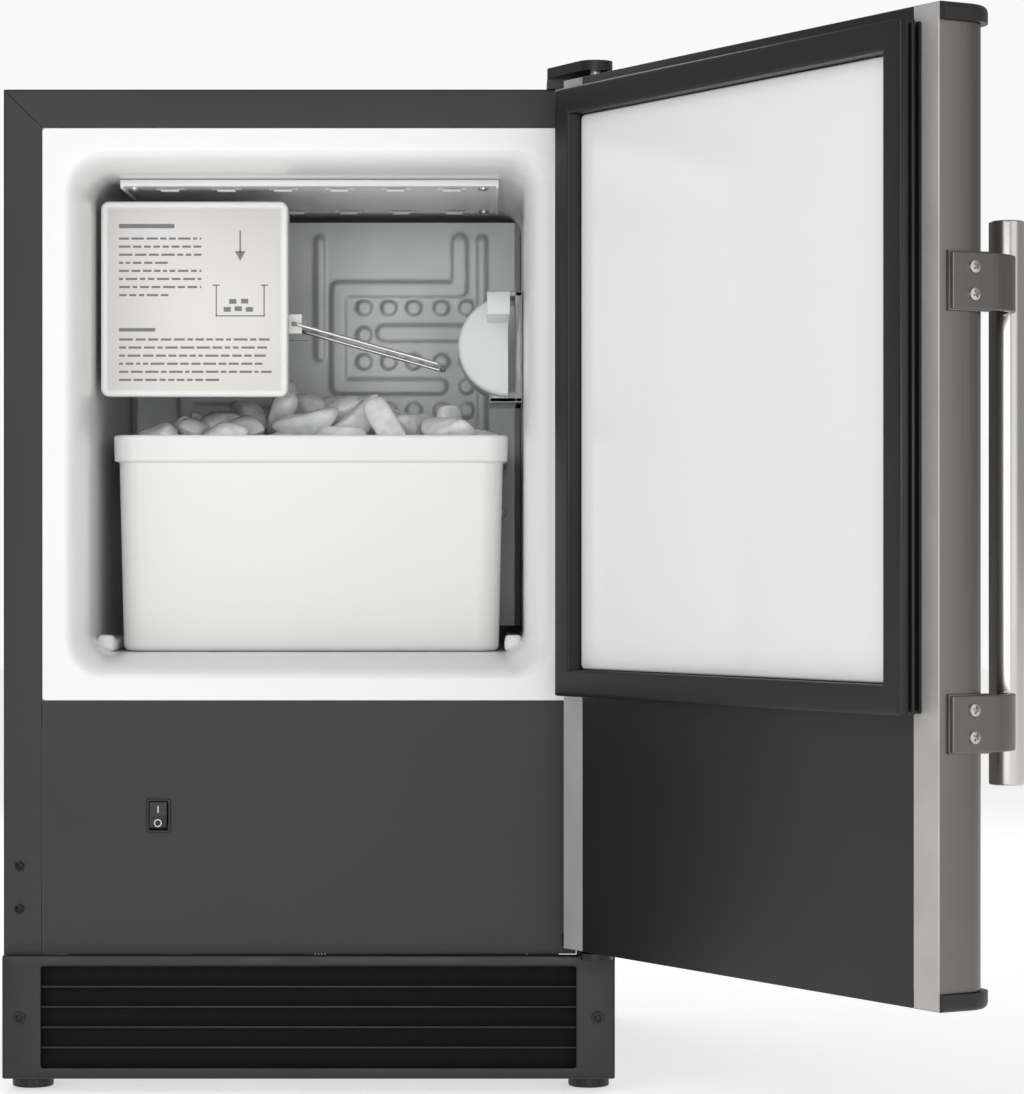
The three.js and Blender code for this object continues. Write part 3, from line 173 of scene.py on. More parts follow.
def surface(name, hex_colour, roughness, metallic=0.0, ior=1.5, coat=0.0):
    """A new material with its Principled shader set to plain values."""
    material = bpy.data.materials.new(name)
    material.use_nodes = True
    shader = material.node_tree.nodes["Principled BSDF"]
    shader.inputs["Base Color"].default_value = linear(hex_colour)
    shader.inputs["Roughness"].default_value = roughness
    shader.inputs["Metallic"].default_value = metallic
    shader.inputs["IOR"].default_value = ior
    shader.inputs["Coat Weight"].default_value = coat
    return material, shader


def noise_field(material, size_mm, stretch, detail):
    """Noise in the piece's own space, its features size_mm across and drawn out where stretch is small."""
    where = add_node(material, "ShaderNodeTexCoord")
    scaled = add_node(material, "ShaderNodeMapping", {0: where.outputs["Object"], "Scale": stretch})
    return add_node(
        material, "ShaderNodeTexNoise",
        {"Vector": scaled.outputs[0], "Scale": 1000.0 / size_mm, "Detail": detail},
    )


def grain(material, shader, size_mm, height_mm, stretch=(1, 1, 1), detail=2.0):
    """Fine relief: noise whose features are size_mm across, drawn as a bump of height_mm."""
    noise = noise_field(material, size_mm, stretch, detail)
    bump = add_node(
        material, "ShaderNodeBump",
        {"Height": noise.outputs["Fac"], "Distance": height_mm / 1000.0, "Strength": 1.0},
    )
    material.node_tree.links.new(bump.outputs[0], shader.inputs["Normal"])
    return noise


def mottle(material, shader, ends, size_mm, stretch=(1, 1, 1), socket="Base Color"):
    """A slow drift between two ends, colours or plain values, over patches of size_mm."""
    noise = noise_field(material, size_mm, stretch, 3.0)
    middle_part = (0.3, 0.7)
    if socket == "Base Color":
        ramp = add_node(material, "ShaderNodeValToRGB", {0: noise.outputs["Fac"]})
        for stop, position, colour in zip(ramp.color_ramp.elements, middle_part, ends):
            stop.position = position
            stop.color = linear(colour)
        result = ramp.outputs["Color"]
    else:
        result = remap(material, noise.outputs["Fac"], ends, middle_part)
    material.node_tree.links.new(result, shader.inputs[socket])


def charcoal_powder_coat():
    """Baked polyester powder on steel: dull, with a pebble of about a millimetre."""
    material, shader = surface("charcoal_powder_coat", "262626", 0.55)
    grain(material, shader, 0.9, 0.035)
    mottle(material, shader, ("232323", "292929"), 120)
    return material


charcoal = charcoal_powder_coat()
node_objects = frame["nodes"]
door_hinge = next(joint for joint in frame["joints"] if joint["name"] == "door_hinge")
door_open = -np.radians(door_hinge["range_deg"][0])
hinge_x, hinge_y = (np.array(door_hinge["pos_m"][:2]) - cabinet_origin[:2]) * 1000.0


def swung(points, angle=door_open):
    """Points of the closed door turned about the upright hinge axis by an angle."""
    points = np.asarray(points, float)
    dx = points[:, 0] - hinge_x
    dy = points[:, 1] - hinge_y
    x = hinge_x + dx * np.cos(angle) - dy * np.sin(angle)
    y = hinge_y + dx * np.sin(angle) + dy * np.cos(angle)
    return np.stack([x, y, points[:, 2]], -1)


def span(node):
    """Lowest and highest corner of a CAD node in millimetres; the door's nodes are measured closed."""
    mesh = node_objects[node].data
    flat = np.empty(len(mesh.vertices) * 3, np.float32)
    mesh.vertices.foreach_get("co", flat)
    points = (flat.reshape(-1, 3) - cabinet_origin) * 1000.0
    if node_objects[node]["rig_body"] == "door":
        points = swung(points, -door_open)
    return points.min(0), points.max(0)


def put(name, parts, material, body, replaced=(), sharp=32, on_door=False):
    """One piece from (points, faces) parts: laid in the frame, welded, turned outwards and shaded."""
    shape = bmesh.new()
    for points, faces in parts:
        points = swung(points) if on_door else points
        corners = [shape.verts.new(point) for point in settled(points)]
        for face in faces:
            shape.faces.new([corners[i] for i in face])
    bmesh.ops.remove_doubles(shape, verts=shape.verts, dist=2e-6)
    bmesh.ops.dissolve_degenerate(shape, dist=1e-6, edges=shape.edges)
    bmesh.ops.recalc_face_normals(shape, faces=shape.faces)
    mesh = bpy.data.meshes.new(name)
    shape.to_mesh(mesh)
    shape.free()
    mesh.polygons.foreach_set("use_smooth", np.ones(len(mesh.polygons), bool))
    mesh.set_sharp_from_angle(angle=np.radians(sharp))
    mesh.materials.append(material)
    piece = bpy.data.objects.new(name, mesh)
    bpy.context.scene.collection.objects.link(piece)
    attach(piece, body)
    if replaced:
        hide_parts(*replaced)
    return piece


def skin(rings, caps=(True, True), loop=False):
    """Quads between neighbouring rings, (rings, around, 3), with a flat face over each capped end."""
    count, around = rings.shape[:2]
    index = np.arange(count * around).reshape(count, around)
    if loop:
        index = np.vstack([index, index[:1]])
    first, second = index[:-1], index[1:]
    quads = np.stack([first, np.roll(first, -1, 1), np.roll(second, -1, 1), second], -1)
    faces = quads.reshape(-1, 4).tolist()
    if caps[0] and not loop:
        faces.append(index[0][::-1].tolist())
    if caps[1] and not loop:
        faces.append(index[-1].tolist())
    return rings.reshape(-1, 3), faces


def quarter(count, start=0.0):
    """Angles of a quarter turn in even steps."""
    return np.linspace(start, np.pi / 2, count)


def full_turn(count):
    """Angles of a full turn in even steps, without the repeated last one."""
    return np.linspace(0, 2 * np.pi, count, endpoint=False)


def folded_wrap():
    """The wrap's section carried along its front edge, from the left foot over the top to the right foot.

    The section is the distance d in from the outer face and the depth y. At a mitre the ring lies on the
    diagonal, where height and width shrink together by d.
    """
    low, high = span("cabinet_wrap")
    half, top, back, foot = high[0], high[2], high[1], low[2]
    thickness, flange, fold = 1.2, 23.5, 1.6
    turn = quarter(6)
    outer = np.stack([fold - fold * np.sin(turn), fold - fold * np.cos(turn)], -1)
    section = np.concatenate([
        [[flange, thickness], [flange, 0.25], [flange - 0.25, 0.0]],
        outer,
        [[0, back - 0.3], [0.3, back], [thickness, back], [thickness, fold + 1], [fold + 1, thickness]],
    ])
    d, y = section[:, 0], section[:, 1]
    mitre_gap, groove_depth = 0.22, 0.7
    on_flange = (y < thickness) & (d > 1.0)

    def station(side, kind):
        """One ring: kind is foot, before, groove or after, going along the wrap's front edge."""
        depth = y + np.where(on_flange & (kind == "groove"), groove_depth, 0.0)
        if kind == "foot":
            return np.stack([side * (half - d), depth, np.full(len(d), foot)], -1)
        away = {"before": -mitre_gap, "groove": 0.0, "after": mitre_gap}[kind]
        height = top - d + np.where(on_flange, min(away, 0), 0)
        width = half - d - np.where(on_flange, max(away, 0), 0)
        return np.stack([side * width, depth, height], -1)

    climb = ("foot", "before", "groove", "after")
    rings = [station(-1, kind) for kind in climb] + [station(1, kind) for kind in climb[::-1]]
    return skin(np.array(rings))


put("cabinet_wrap_steel", [folded_wrap()], charcoal, "cabinet", ["cabinet_wrap"])

# ---- Lower front panel ----
# A flat charcoal panel set flush between the wrap's turned-in edges, with a square hole for the switch.


def dress(node, material):
    """Gives a CAD node that stays in view its finish."""
    mesh = node_objects[node].data
    mesh.materials.clear()
    mesh.materials.append(material)


dress("lower_front_panel", charcoal)

# ---- Inner liner ----
# Thermoformed white polystyrene: a flat front border that turns through a soft lip into the cavity.


outwards = np.array([-1, 1, -1, 1])


def outline_of(low, high, second=2):
    """A box's outline as (low, high, low, high), along X and a second axis."""
    return np.array([low[0], high[0], low[second], high[second]])


def inset(outline, distance, corner, place):
    """One station for nested(): an outline drawn in by a distance, its corner radius and its place."""
    return (*(outline - distance * outwards), corner, place)


def ring(x0, x1, z0, z1, radius, steps):
    """A rounded rectangle: four quarter circles of one radius, joined by its straight sides."""
    turn = quarter(steps + 1)
    corners = [
        (x1 - radius, z0 + radius, -np.pi / 2), (x1 - radius, z1 - radius, 0.0),
        (x0 + radius, z1 - radius, np.pi / 2), (x0 + radius, z0 + radius, np.pi),
    ]
    arcs = [
        np.stack([x + radius * np.cos(start + turn), z + radius * np.sin(start + turn)], -1)
        for x, z, start in corners
    ]
    return np.concatenate(arcs)


def nested(stations, axis="y", steps=8):
    """Rounded rectangles along an axis, each (low, high, low, high, corner, place), as rings."""
    rings = []
    for x0, x1, z0, z1, radius, place in stations:
        flat = ring(x0, x1, z0, z1, radius, steps)
        depth = np.full(len(flat), place)
        order = (flat[:, 0], depth, flat[:, 1]) if axis == "y" else (flat[:, 0], flat[:, 1], depth)
        rings.append(np.stack(order, -1))
    return np.array(rings)


def white_liner_plastic():
    """Vacuum-formed high-impact polystyrene: white, glossy, with the faint ripple of the stretched sheet."""
    material, shader = surface("white_liner_polystyrene", "e9e9e9", 0.28, coat=0.15)
    grain(material, shader, 9, 0.05, detail=1.0)
    return material


liner_white = white_liner_plastic()


cavity = np.array([-138.0, 132.5, 268.2, 565.7])


def liner_stations():
    """The border and then the cavity: from mouth to cavity each side eases in by 1 - sin of the turn."""
    low, high = span("inner_liner")
    wall, border, edge_corner = 2.0, 13.8, 2.0
    outer = outline_of(low, high)
    mouth = outer - border * outwards
    lip_depth, mouth_corner, cavity_corner, back_turn = 43.0, 24.0, 14.0, 12.0
    stations = [
        inset(outer, 0, edge_corner, wall),
        inset(outer, 0.1, edge_corner, 0.3),
        inset(outer, 0.4, edge_corner, 0.0),
    ]
    # The border runs flat, dips by a hair and rolls into the lip.
    stations += [inset(mouth, -6, mouth_corner + 6, 0.0), inset(mouth, -1.5, mouth_corner + 1.5, 0.05)]
    for turn in quarter(15):
        part = 1 - np.sin(turn)
        sides = cavity + (mouth - cavity) * part
        corner = cavity_corner + (mouth_corner - cavity_corner) * part
        stations.append((*sides, corner, 0.2 + lip_depth * (1 - np.cos(turn))))
    back = high[1] - wall
    stations += [inset(cavity, 0, cavity_corner, place) for place in (120, 220, back - back_turn)]
    for turn in quarter(6, 0.2):
        draw, place = back_turn * (1 - np.cos(turn)), back - back_turn * (1 - np.sin(turn))
        stations.append(inset(cavity, draw, cavity_corner - draw * 0.6, place))
    return stations


liner_rings = nested(liner_stations(), steps=10)
put(
    "inner_liner_shell", [skin(liner_rings, caps=(False, True))],
    liner_white, "cabinet", ["inner_liner"],
)


# ---- Toe grille ----
# A black moulded frame hung on two screws below the door, with four thin louvre blades across its mouth
# and an open-cell filter mat behind them.


def block(low, high, radius=0.6, steps=2):
    """A box with rounded edges: the points of a small sphere pushed out towards the box's corners."""
    low, high = np.array(low, float), np.array(high, float)
    radius = min(radius, 0.49 * (high - low).min())
    turn = quarter(steps + 1)
    around = np.concatenate([turn + k * np.pi / 2 for k in range(4)])
    up = np.concatenate([turn - np.pi / 2, turn])[:, None]
    quadrant = np.repeat([0, 1, 2, 3], steps + 1)
    girth = np.cos(up)
    out = np.stack(np.broadcast_arrays(girth * np.cos(around), girth * np.sin(around), np.sin(up)), -1)
    side_x = np.array([1, -1, -1, 1])[quadrant]
    side_y = np.array([1, 1, -1, -1])[quadrant]
    side_z = np.repeat([-1, 1], steps + 1)[:, None]
    sides = np.stack(np.broadcast_arrays(side_x, side_y, side_z), -1)
    rings = (low + high) / 2 + sides * ((high - low) / 2 - radius) + radius * out
    return skin(rings)


def screw(middle, facing, radius, height, turn):
    """A pan head with a cross recess: a low dome over the radius, sunk where the cross covers it."""
    facing = np.array(facing, float)
    across = np.cross(facing, [0, 0, 1]) if abs(facing[2]) < 0.9 else np.array([1.0, 0, 0])
    across /= np.linalg.norm(across)
    upwards = np.cross(facing, across)
    angle = full_turn(48)
    wing_half, wing_reach = 0.13, 0.58
    share = np.array([1.0, 1.0, 0.97, 0.86, 0.7, 0.62, 0.56, 0.5, 0.4, 0.28, 0.2, 0.14, 0.08, 0.0])[:, None]
    dome = height * np.sqrt(np.clip(1 - 0.62 * share**2, 0, 1))
    dome[0] = 0.0
    dome[1] = height * 0.45
    x, y = share * np.cos(angle + turn), share * np.sin(angle + turn)
    off_cross = np.minimum(abs(share * np.cos(angle)), abs(share * np.sin(angle)))
    wing = (off_cross < wing_half) & (share < wing_reach)
    lift = dome - wing * height * 0.55 * (1 - 0.4 * share)
    rings = (
        np.array(middle, float)
        + radius * (x[..., None] * across + y[..., None] * upwards)
        + (lift * np.ones_like(x))[..., None] * facing
    )
    return skin(rings, caps=(True, False))


def put_screws(name, places, facing, radius, height, material, on_door=False):
    """Equal screws as one piece; each place is (x, y, z, turn of the cross recess)."""
    heads = [screw((x, y, z), facing, radius, height, turn) for x, y, z, turn in places]
    put(name, heads, material, "door" if on_door else "cabinet", on_door=on_door)


def black_moulded_plastic():
    """Injection-moulded ABS, black, with a light spark-eroded texture that keeps the gloss broad."""
    material, shader = surface("black_moulded_abs", "131314", 0.4)
    grain(material, shader, 0.8, 0.02)
    mottle(material, shader, (0.36, 0.48), 25, socket="Roughness")
    return material


def blackened_screw():
    """Zinc-plated steel passivated black: dark and half shiny."""
    material, shader = surface("black_zinc_screw", "101011", 0.3, metallic=0.5)
    grain(material, shader, 1.2, 0.01)
    return material


black_plastic = black_moulded_plastic()
black_zinc = blackened_screw()
grille_low, grille_high = span("toe_grille")
grille_outline = outline_of(grille_low, grille_high)
grille_rail, grille_side = 6.8, 23.9
grille_opening = grille_outline - outwards * [grille_side, grille_side, grille_rail, grille_rail]


def grille_frame():
    """A rectangular frame: a closed section carried round the opening, its front edges rounded."""
    front, back = grille_low[1], grille_high[1]
    outer_round, inner_round = 1.4, 0.9
    stations = [inset(grille_outline, 0, 1.2, back)]
    for turn in quarter(5):
        draw = outer_round * (1 - np.cos(turn))
        stations.append(inset(grille_outline, draw, 1.2, front + outer_round * (1 - np.sin(turn))))
    stations.append(inset(grille_opening, -1.6, 2.0, front))
    for turn in quarter(5)[1:]:
        draw = inner_round * (1 - np.sin(turn))
        stations.append(inset(grille_opening, -draw, 1.4, front + inner_round * (1 - np.cos(turn))))
    stations.append(inset(grille_opening, 0, 1.2, back))
    return skin(nested(stations, steps=3), loop=True)


def grille_blades():
    """Thin level blades across the mouth, at an even pitch."""
    count, thickness = 4, 1.3
    low, high = grille_opening[2], grille_opening[3]
    parts = []
    for z in low + (high - low) * np.arange(1, count + 1) / (count + 1):
        parts.append(block(
            (grille_opening[0] - 0.5, grille_low[1] + 1.0, z - thickness / 2),
            (grille_opening[1] + 0.5, grille_high[1] - 0.6, z + thickness / 2), 0.5,
        ))
    return parts


put(
    "toe_grille_moulding", [grille_frame(), *grille_blades()],
    black_plastic, "cabinet", ["toe_grille"],
)


def painted_shade_filter_mat():
    """Open-cell polyurethane foam with no gloss and cells of one to two millimetres; its near-black colour is
    painted shade for the unlit compartment behind the grille.
    """
    material, shader = surface("filter_foam_painted_shade", "020202", 0.95)
    grain(material, shader, 1.6, 0.5)
    return material


# A real filter mat, but its almost zero brightness is painted shade: it stands for the dark machine
# compartment seen through the blades.
mat_low = (grille_opening[0] - 6, grille_high[1] + 0.6, grille_opening[2] - 4)
mat_high = (grille_opening[1] + 6, grille_high[1] + 4.6, grille_opening[3] + 4)
put("grille_filter_mat", [block(mat_low, mat_high, 1.0)], painted_shade_filter_mat(), "cabinet")
grille_screw_x, grille_screw_z = grille_high[0] - 10.4, 45.5
grille_screws = [
    (-grille_screw_x, grille_low[1] + 1.2, grille_screw_z, 0.4),
    (grille_screw_x, grille_low[1] + 1.2, grille_screw_z, 1.0),
]
put_screws("grille_screws", grille_screws, (0, -1, 0), 2.6, 1.7, black_zinc)


def turned(profile, middle, axis="z", sides=40, closed=False):
    """A profile of (radius, height) points spun about an axis through middle."""
    profile = np.array(profile, float)
    angle = full_turn(sides)
    radius, height = profile[:, :1], profile[:, 1:]
    across, along, level = radius * np.cos(angle), radius * np.sin(angle), height + 0 * angle
    order = {"z": (across, along, level), "y": (across, level, along), "x": (level, across, along)}[axis]
    rings = np.stack(order, -1) + np.array(middle, float)
    return skin(rings, caps=(profile[0, 0] > 0, profile[-1, 0] > 0), loop=closed)


def screw_cups():
    """The dark countersunk washers that the grille's screws sit in: flat rings with a rounded rim."""
    profile = [(3.0, 0.1), (3.3, -0.5), (3.9, -0.6), (4.3, -0.2), (4.3, 0.1), (3.6, 2.2), (3.0, 2.2)]
    places = [(x, grille_low[1], grille_screw_z) for x in (-grille_screw_x, grille_screw_x)]
    return [turned(profile, place, "y", closed=True) for place in places]


put("grille_screw_cups", screw_cups(), black_plastic, "cabinet")

# The spare hinge's holes in the left front edge are closed by two small screws, as high as the hinge's own.
hinge_screw_heights = (111.9, 138.2)
spare_screw_x = span("cabinet_wrap")[0][0] + 9.9
spare_screws = [(spare_screw_x, -0.1, z, z) for z in hinge_screw_heights]
put_screws("spare_hinge_screws", spare_screws, (0, -1, 0), 2.9, 1.6, black_zinc)

# ---- Rocker switch ----
# A black snap-in bezel and a rocker with the usual on and off marks, its upper half pressed in.


def marked_white():
    """Pad-printed white ink: flat and bright."""
    return surface("white_pad_print", "d8d8d6", 0.6)[0]


def bezel():
    """A rounded frame in front of the panel with a well behind it, closed at its back."""
    low, high = span("switch_bezel")
    outer = outline_of(low, high)
    well = outer - outwards * [1.75, 1.75, 1.65, 1.65]
    front, behind, well_back = low[1], -0.3, 8.0
    stations = [inset(outer, 1.0, 1.0, behind), inset(outer, 0, 1.4, behind)]
    stations += [inset(outer, 0, 1.4, front + 0.6), inset(outer, 0.2, 1.3, front + 0.15)]
    stations += [inset(outer, 0.7, 1.2, front)]
    stations += [inset(well, -0.5, 0.9, front), inset(well, -0.1, 0.7, front + 0.25)]
    stations += [inset(well, 0, 0.6, front + 0.8), inset(well, 0, 0.6, well_back)]
    return skin(nested(stations, steps=4), caps=(False, True))


rocker_axis_z = 169.2


def rocker():
    """The rocker's side view, a shallow V, carried across its width with rounded sides."""
    tilt = np.radians(10)
    low, high = span("switch_rocker")
    middle = (low + high) / 2
    half, width, face, root = 7.75, (high[0] - low[0]) / 2, -3.6, 3.2
    rise = half * np.tan(tilt)
    z = np.concatenate([np.linspace(-half, half, 17), [half, half * 0.5, -half * 0.5, -half]])
    y = np.concatenate([face - rise * abs(np.linspace(-1, 1, 17)), [0, root, root, 0]])
    tilted_y = y * np.cos(tilt) + z * np.sin(tilt)
    tilted_z = z * np.cos(tilt) - y * np.sin(tilt)
    draw = np.array([0.5, 0.15, 0.0, 0.0, 0.15, 0.5])
    place = np.array([-width, -width + 0.15, -width + 0.5, width - 0.5, width - 0.15, width])
    rings = []
    for x, drawn_in in zip(place, draw):
        depth = tilted_y * (1 - 0.06 * drawn_in)
        height = rocker_axis_z + tilted_z * (1 - 0.05 * drawn_in)
        rings.append(np.stack([np.full(len(y), middle[0] + x), depth, height], -1))
    return skin(np.array(rings))


def rocker_marks():
    """A short bar on the upper half and a ring on the lower, lying on the rocker's face."""
    low, high = span("switch_rocker")
    x = (low[0] + high[0]) / 2
    bar = block((x - 0.35, -3.75, 171.2), (x + 0.35, -3.4, 175.4), 0.15)
    angle = full_turn(32)
    rings = []
    for radius, lift in ((1.7, 0.0), (1.75, 0.12), (2.35, 0.12), (2.4, 0.0)):
        z = 165.0 + radius * np.sin(angle)
        y = -3.72 + (z - rocker_axis_z) * np.tan(np.radians(20)) - lift
        rings.append(np.stack([x + radius * np.cos(angle), y, z], -1))
    return [bar, skin(np.array(rings), loop=True)]


print_white = marked_white()
put("switch_bezel_moulding", [bezel()], black_plastic, "cabinet", ["switch_bezel"])
put("switch_rocker_moulding", [rocker()], black_plastic, "rocker", ["switch_rocker"])
put("switch_marks", rocker_marks(), print_white, "rocker")

# ---- Levelling feet ----
# Black nylon pads with a ribbed rim, moulded round a steel stud that screws into the base pan.


def foot(node):
    """A turned pad under a hexagon and a stud: the rim's radius ripples with the ribs."""
    low, high = span(node)
    middle = (low + high) / 2
    radius = (high[0] - low[0]) / 2
    angle = full_turn(96)
    profile = [
        (0, 0.0), (0.86, 0.0), (0.97, 0.5), (1.0, 1.4), (1.0, 5.8),
        (0.97, 6.8), (0.84, 7.5), (0.52, 7.6), (0.5, 7.9), (0, 7.9),
    ]
    rings = []
    for share, height in profile:
        ripple = 1 - 0.018 * (1 + np.cos(24 * angle)) * (1.0 < height < 6.0)
        r = share * radius * ripple
        x, y = middle[0] + r * np.cos(angle), middle[1] + r * np.sin(angle)
        rings.append(np.stack([x, y, np.full(len(angle), height)], -1))
    pad = skin(np.array(rings), caps=(False, False))
    stud = turned([(0, 7.5), (3.9, 7.5), (3.9, 35.4), (3.4, 36), (0, 36)], (middle[0], middle[1], 0))
    return [pad, stud]


for corner in ("front_left", "front_right", "rear_left", "rear_right"):
    node = f"foot_{corner}"
    put(f"{node}_pad", foot(node), black_plastic, node, [node])

# ---- Ice bin ----
# An injection-moulded white bin with a deep turned-over rim, resting between two low guides.


def bin_plastic():
    """Polypropylene homopolymer, white: satin, and a little light passes into it."""
    material, shader = surface("white_bin_polypropylene", "ececeb", 0.36)
    shader.inputs["Subsurface Weight"].default_value = 0.25
    shader.inputs["Subsurface Radius"].default_value = (0.004, 0.004, 0.004)
    grain(material, shader, 14, 0.04, detail=1.0)
    return material


bin_white = bin_plastic()


def bin_shell():
    """Rounded rectangles up the outside, over the rim and down the inside: each wall leans by its taper."""
    low, high = span("ice_bin")
    rim = outline_of(low, high, 1)
    foot, top, rim_height = low[2], high[2], 16.5
    step, taper, wall, corner = 3.0, 3.0, 2.5, 14.0
    foot_round, lip_round, floor_round = 4.0, 1.8, 6.0

    def wall_at(z, inwards=0.0):
        lean = taper * (top - z) / (top - foot)
        return inset(rim, step + lean + inwards, corner - inwards * 0.8, z)

    stations = []
    base = np.array(wall_at(foot)[:4])
    for turn in quarter(6):
        draw = foot_round * (1 - np.sin(turn))
        stations.append(inset(base, draw, corner - draw * 0.5, foot + foot_round * (1 - np.cos(turn))))
    stations += [wall_at(z) for z in np.linspace(foot + 20, top - rim_height - 1.2, 5)]
    under = top - rim_height
    stations += [inset(rim, 2.4, corner, under - 0.5), inset(rim, 0.9, corner, under)]
    stations += [inset(rim, 0.55, corner, under + 0.5), inset(rim, 0.1, corner, top - 2.2)]
    for turn in quarter(5, 0.2):
        draw = lip_round * (1 - np.cos(turn))
        stations.append(inset(rim, draw, corner, top - lip_round * (1 - np.sin(turn))))
    stations += [inset(rim, 4.6, corner, top), inset(rim, 5.3, corner - 1, top - 0.4)]
    stations += [wall_at(z, wall) for z in np.linspace(top - 3, foot + 12, 6)]
    inner = np.array(wall_at(foot + wall, wall)[:4])
    for turn in quarter(5, 0.3):
        draw = floor_round * (1 - np.cos(turn))
        height = foot + wall + floor_round * (1 - np.sin(turn))
        stations.append(inset(inner, draw, corner - wall - draw * 0.4, height))
    return skin(nested(stations, "z"))


put("ice_bin_moulding", [bin_shell()], bin_white, "ice_bin", ["ice_bin"])


def guide(node):
    """A low rail with a rounded back edge and a raised stop block at its front.

    The block's faces lie a little inside the rail's, so that no corner of one falls on the other.
    """
    low, high = span(node)
    inside = 0.35
    rail = block(low, (high[0], high[1], high[2] - 2.5), 2.0, 3)
    stop = block(low + inside, (high[0] - inside, low[1] + 14, high[2]), 2.6, 4)
    return [rail, stop]


for node in ("bin_guide_left", "bin_guide_right"):
    put(f"{node}_rail", guide(node), liner_white, "cabinet", [node])

# ---- Ice ----
# Crescents as they fall from the mould, heaped in the bin: clear, with cloudy patches where air was
# frozen in.


def crescent_ice():
    """Water ice: partly clear, with milky patches and a wet, slightly rippled skin."""
    material, shader = surface("crescent_ice", "fdfeff", 0.08, ior=1.31)
    shader.inputs["Subsurface Weight"].default_value = 0.5
    shader.inputs["Subsurface Radius"].default_value = (0.02, 0.022, 0.024)
    shader.inputs["Subsurface Scale"].default_value = 0.12
    shader.inputs["Coat Weight"].default_value = 0.6
    cloud = grain(material, shader, 9, 0.15, detail=2.0)
    clear = remap(material, cloud.outputs["Fac"], (0.22, 0.0), (0.38, 0.66))
    material.node_tree.links.new(clear, shader.inputs["Transmission Weight"])
    return material


def crescent():
    """A slice of a round mould: a chord and an arc of one radius, its rims drawn in and its flanks bulged."""
    radius, fill = 25.0, 17.5
    reach = np.arccos(1 - fill / radius)
    arc = np.linspace(-reach * 0.93, reach * 0.93, 9)
    chord = radius * np.sin(reach) * 0.55
    edge_x = np.concatenate([radius * np.sin(arc), [chord, 0, -chord]])
    edge_z = np.concatenate([radius * (1 - np.cos(arc)) - fill / 2, fill / 2 - np.array([0.4, 1.2, 0.4])])
    rings = []
    for y, share in ((-8.3, 0.72), (-6.6, 0.94), (0.0, 1.0), (6.6, 0.94), (8.3, 0.72)):
        rings.append(np.stack([edge_x * share, np.full(len(edge_x), y), edge_z * share], -1))
    return skin(np.array(rings))


def heap_height(x, y, wave):
    """The heap's top: a low mound that falls off towards the walls of the bin, with a few humps."""
    low, high = span("ice_bin")
    across = np.clip((x - low[0]) / (high[0] - low[0]), 0, 1)
    along = np.clip((y - low[1]) / (high[1] - low[1]), 0, 1)
    mound = np.sin(np.pi * across) ** 0.6 * np.sin(np.pi * along) ** 0.5
    return high[2] - 21 + 36 * mound + 7 * np.sin(across * 9 + wave) * np.sin(along * 7 + wave)


def ice_heap():
    """Layers of crescents on a loose grid, each turned and tipped at random; the top one keeps the mound."""
    random = np.random.default_rng(41)
    points, faces = crescent()
    low, high = span("ice_bin")
    across_pitch, along_pitch, layer_drop, stagger = 35.5, 25.5, 15.5, 14
    parts = []
    for layer in range(4):
        for row, y in enumerate(np.arange(low[1] + 30, high[1] - 22, along_pitch)):
            for x in np.arange(low[0] + 33 + (row + layer) % 2 * stagger, high[0] - 26, across_pitch):
                px, py = x + random.normal(0, 2.4), y + random.normal(0, 2.4)
                pz = heap_height(px, py, 0.7) - layer_drop * layer + random.normal(0, 1.6)
                yaw = random.uniform(0, 2 * np.pi)
                roll = random.normal(0, 0.75) + (np.pi if random.random() < 0.6 else 0)
                pitch = random.normal(0, 0.6)
                spin = (
                    Matrix.Rotation(yaw, 3, "Z")
                    @ Matrix.Rotation(pitch, 3, "Y")
                    @ Matrix.Rotation(roll, 3, "X")
                )
                size = random.uniform(1.0, 1.15)
                turned_points = size * points @ np.array(spin).T
                lowest = max(0.0, low[2] + 8 - (pz + turned_points[:, 2].min()))
                parts.append((turned_points + (px, py, pz + lowest), faces))
    return parts


heap = put("ice_crescents", ice_heap(), crescent_ice(), "ice_bin", sharp=80)
round_ice = heap.modifiers.new("round", "SUBSURF")
round_ice.levels = 1
round_ice.render_levels = 1

# ---- Ceiling tray ----
# A shallow white moulding that catches drips from the cavity's roof, pierced near its front and back
# edges and held up by two small screws.


def pierced(low, high, holes):
    """A slab with square-edged holes: the cells between all their edges, each kept unless inside a hole."""
    xs = sorted({low[0], high[0], *(h[0] for h in holes), *(h[1] for h in holes)})
    ys = sorted({low[1], high[1], *(h[2] for h in holes), *(h[3] for h in holes)})
    kept = np.ones((len(xs) - 1, len(ys) - 1), bool)
    for i in range(len(xs) - 1):
        for j in range(len(ys) - 1):
            x, y = (xs[i] + xs[i + 1]) / 2, (ys[j] + ys[j + 1]) / 2
            kept[i, j] = not any(h[0] < x < h[1] and h[2] < y < h[3] for h in holes)
    points = np.array([(x, y, z) for z in (low[2], high[2]) for x in xs for y in ys])

    def at(i, j, level):
        return level * len(xs) * len(ys) + i * len(ys) + j

    faces = []
    for i, j in zip(*np.nonzero(kept)):
        corners = [(i, j), (i + 1, j), (i + 1, j + 1), (i, j + 1)]
        faces.append([at(*c, 0) for c in corners])
        faces.append([at(*c, 1) for c in corners])
        for side, (di, dj) in enumerate(((0, -1), (1, 0), (0, 1), (-1, 0))):
            ni, nj = i + di, j + dj
            if not (0 <= ni < kept.shape[0] and 0 <= nj < kept.shape[1]) or not kept[ni, nj]:
                a, b = corners[side], corners[(side + 1) % 4]
                faces.append([at(*a, 0), at(*b, 0), at(*b, 1), at(*a, 1)])
    return points, faces


def soften(piece, width_mm, segments=2):
    """Rounds a piece's sharp edges by a narrow bevel."""
    edge = piece.modifiers.new("soft_edges", "BEVEL")
    edge.width = width_mm / 1000.0
    edge.segments = segments
    edge.limit_method = "ANGLE"
    edge.angle_limit = np.radians(35)
    edge.harden_normals = True


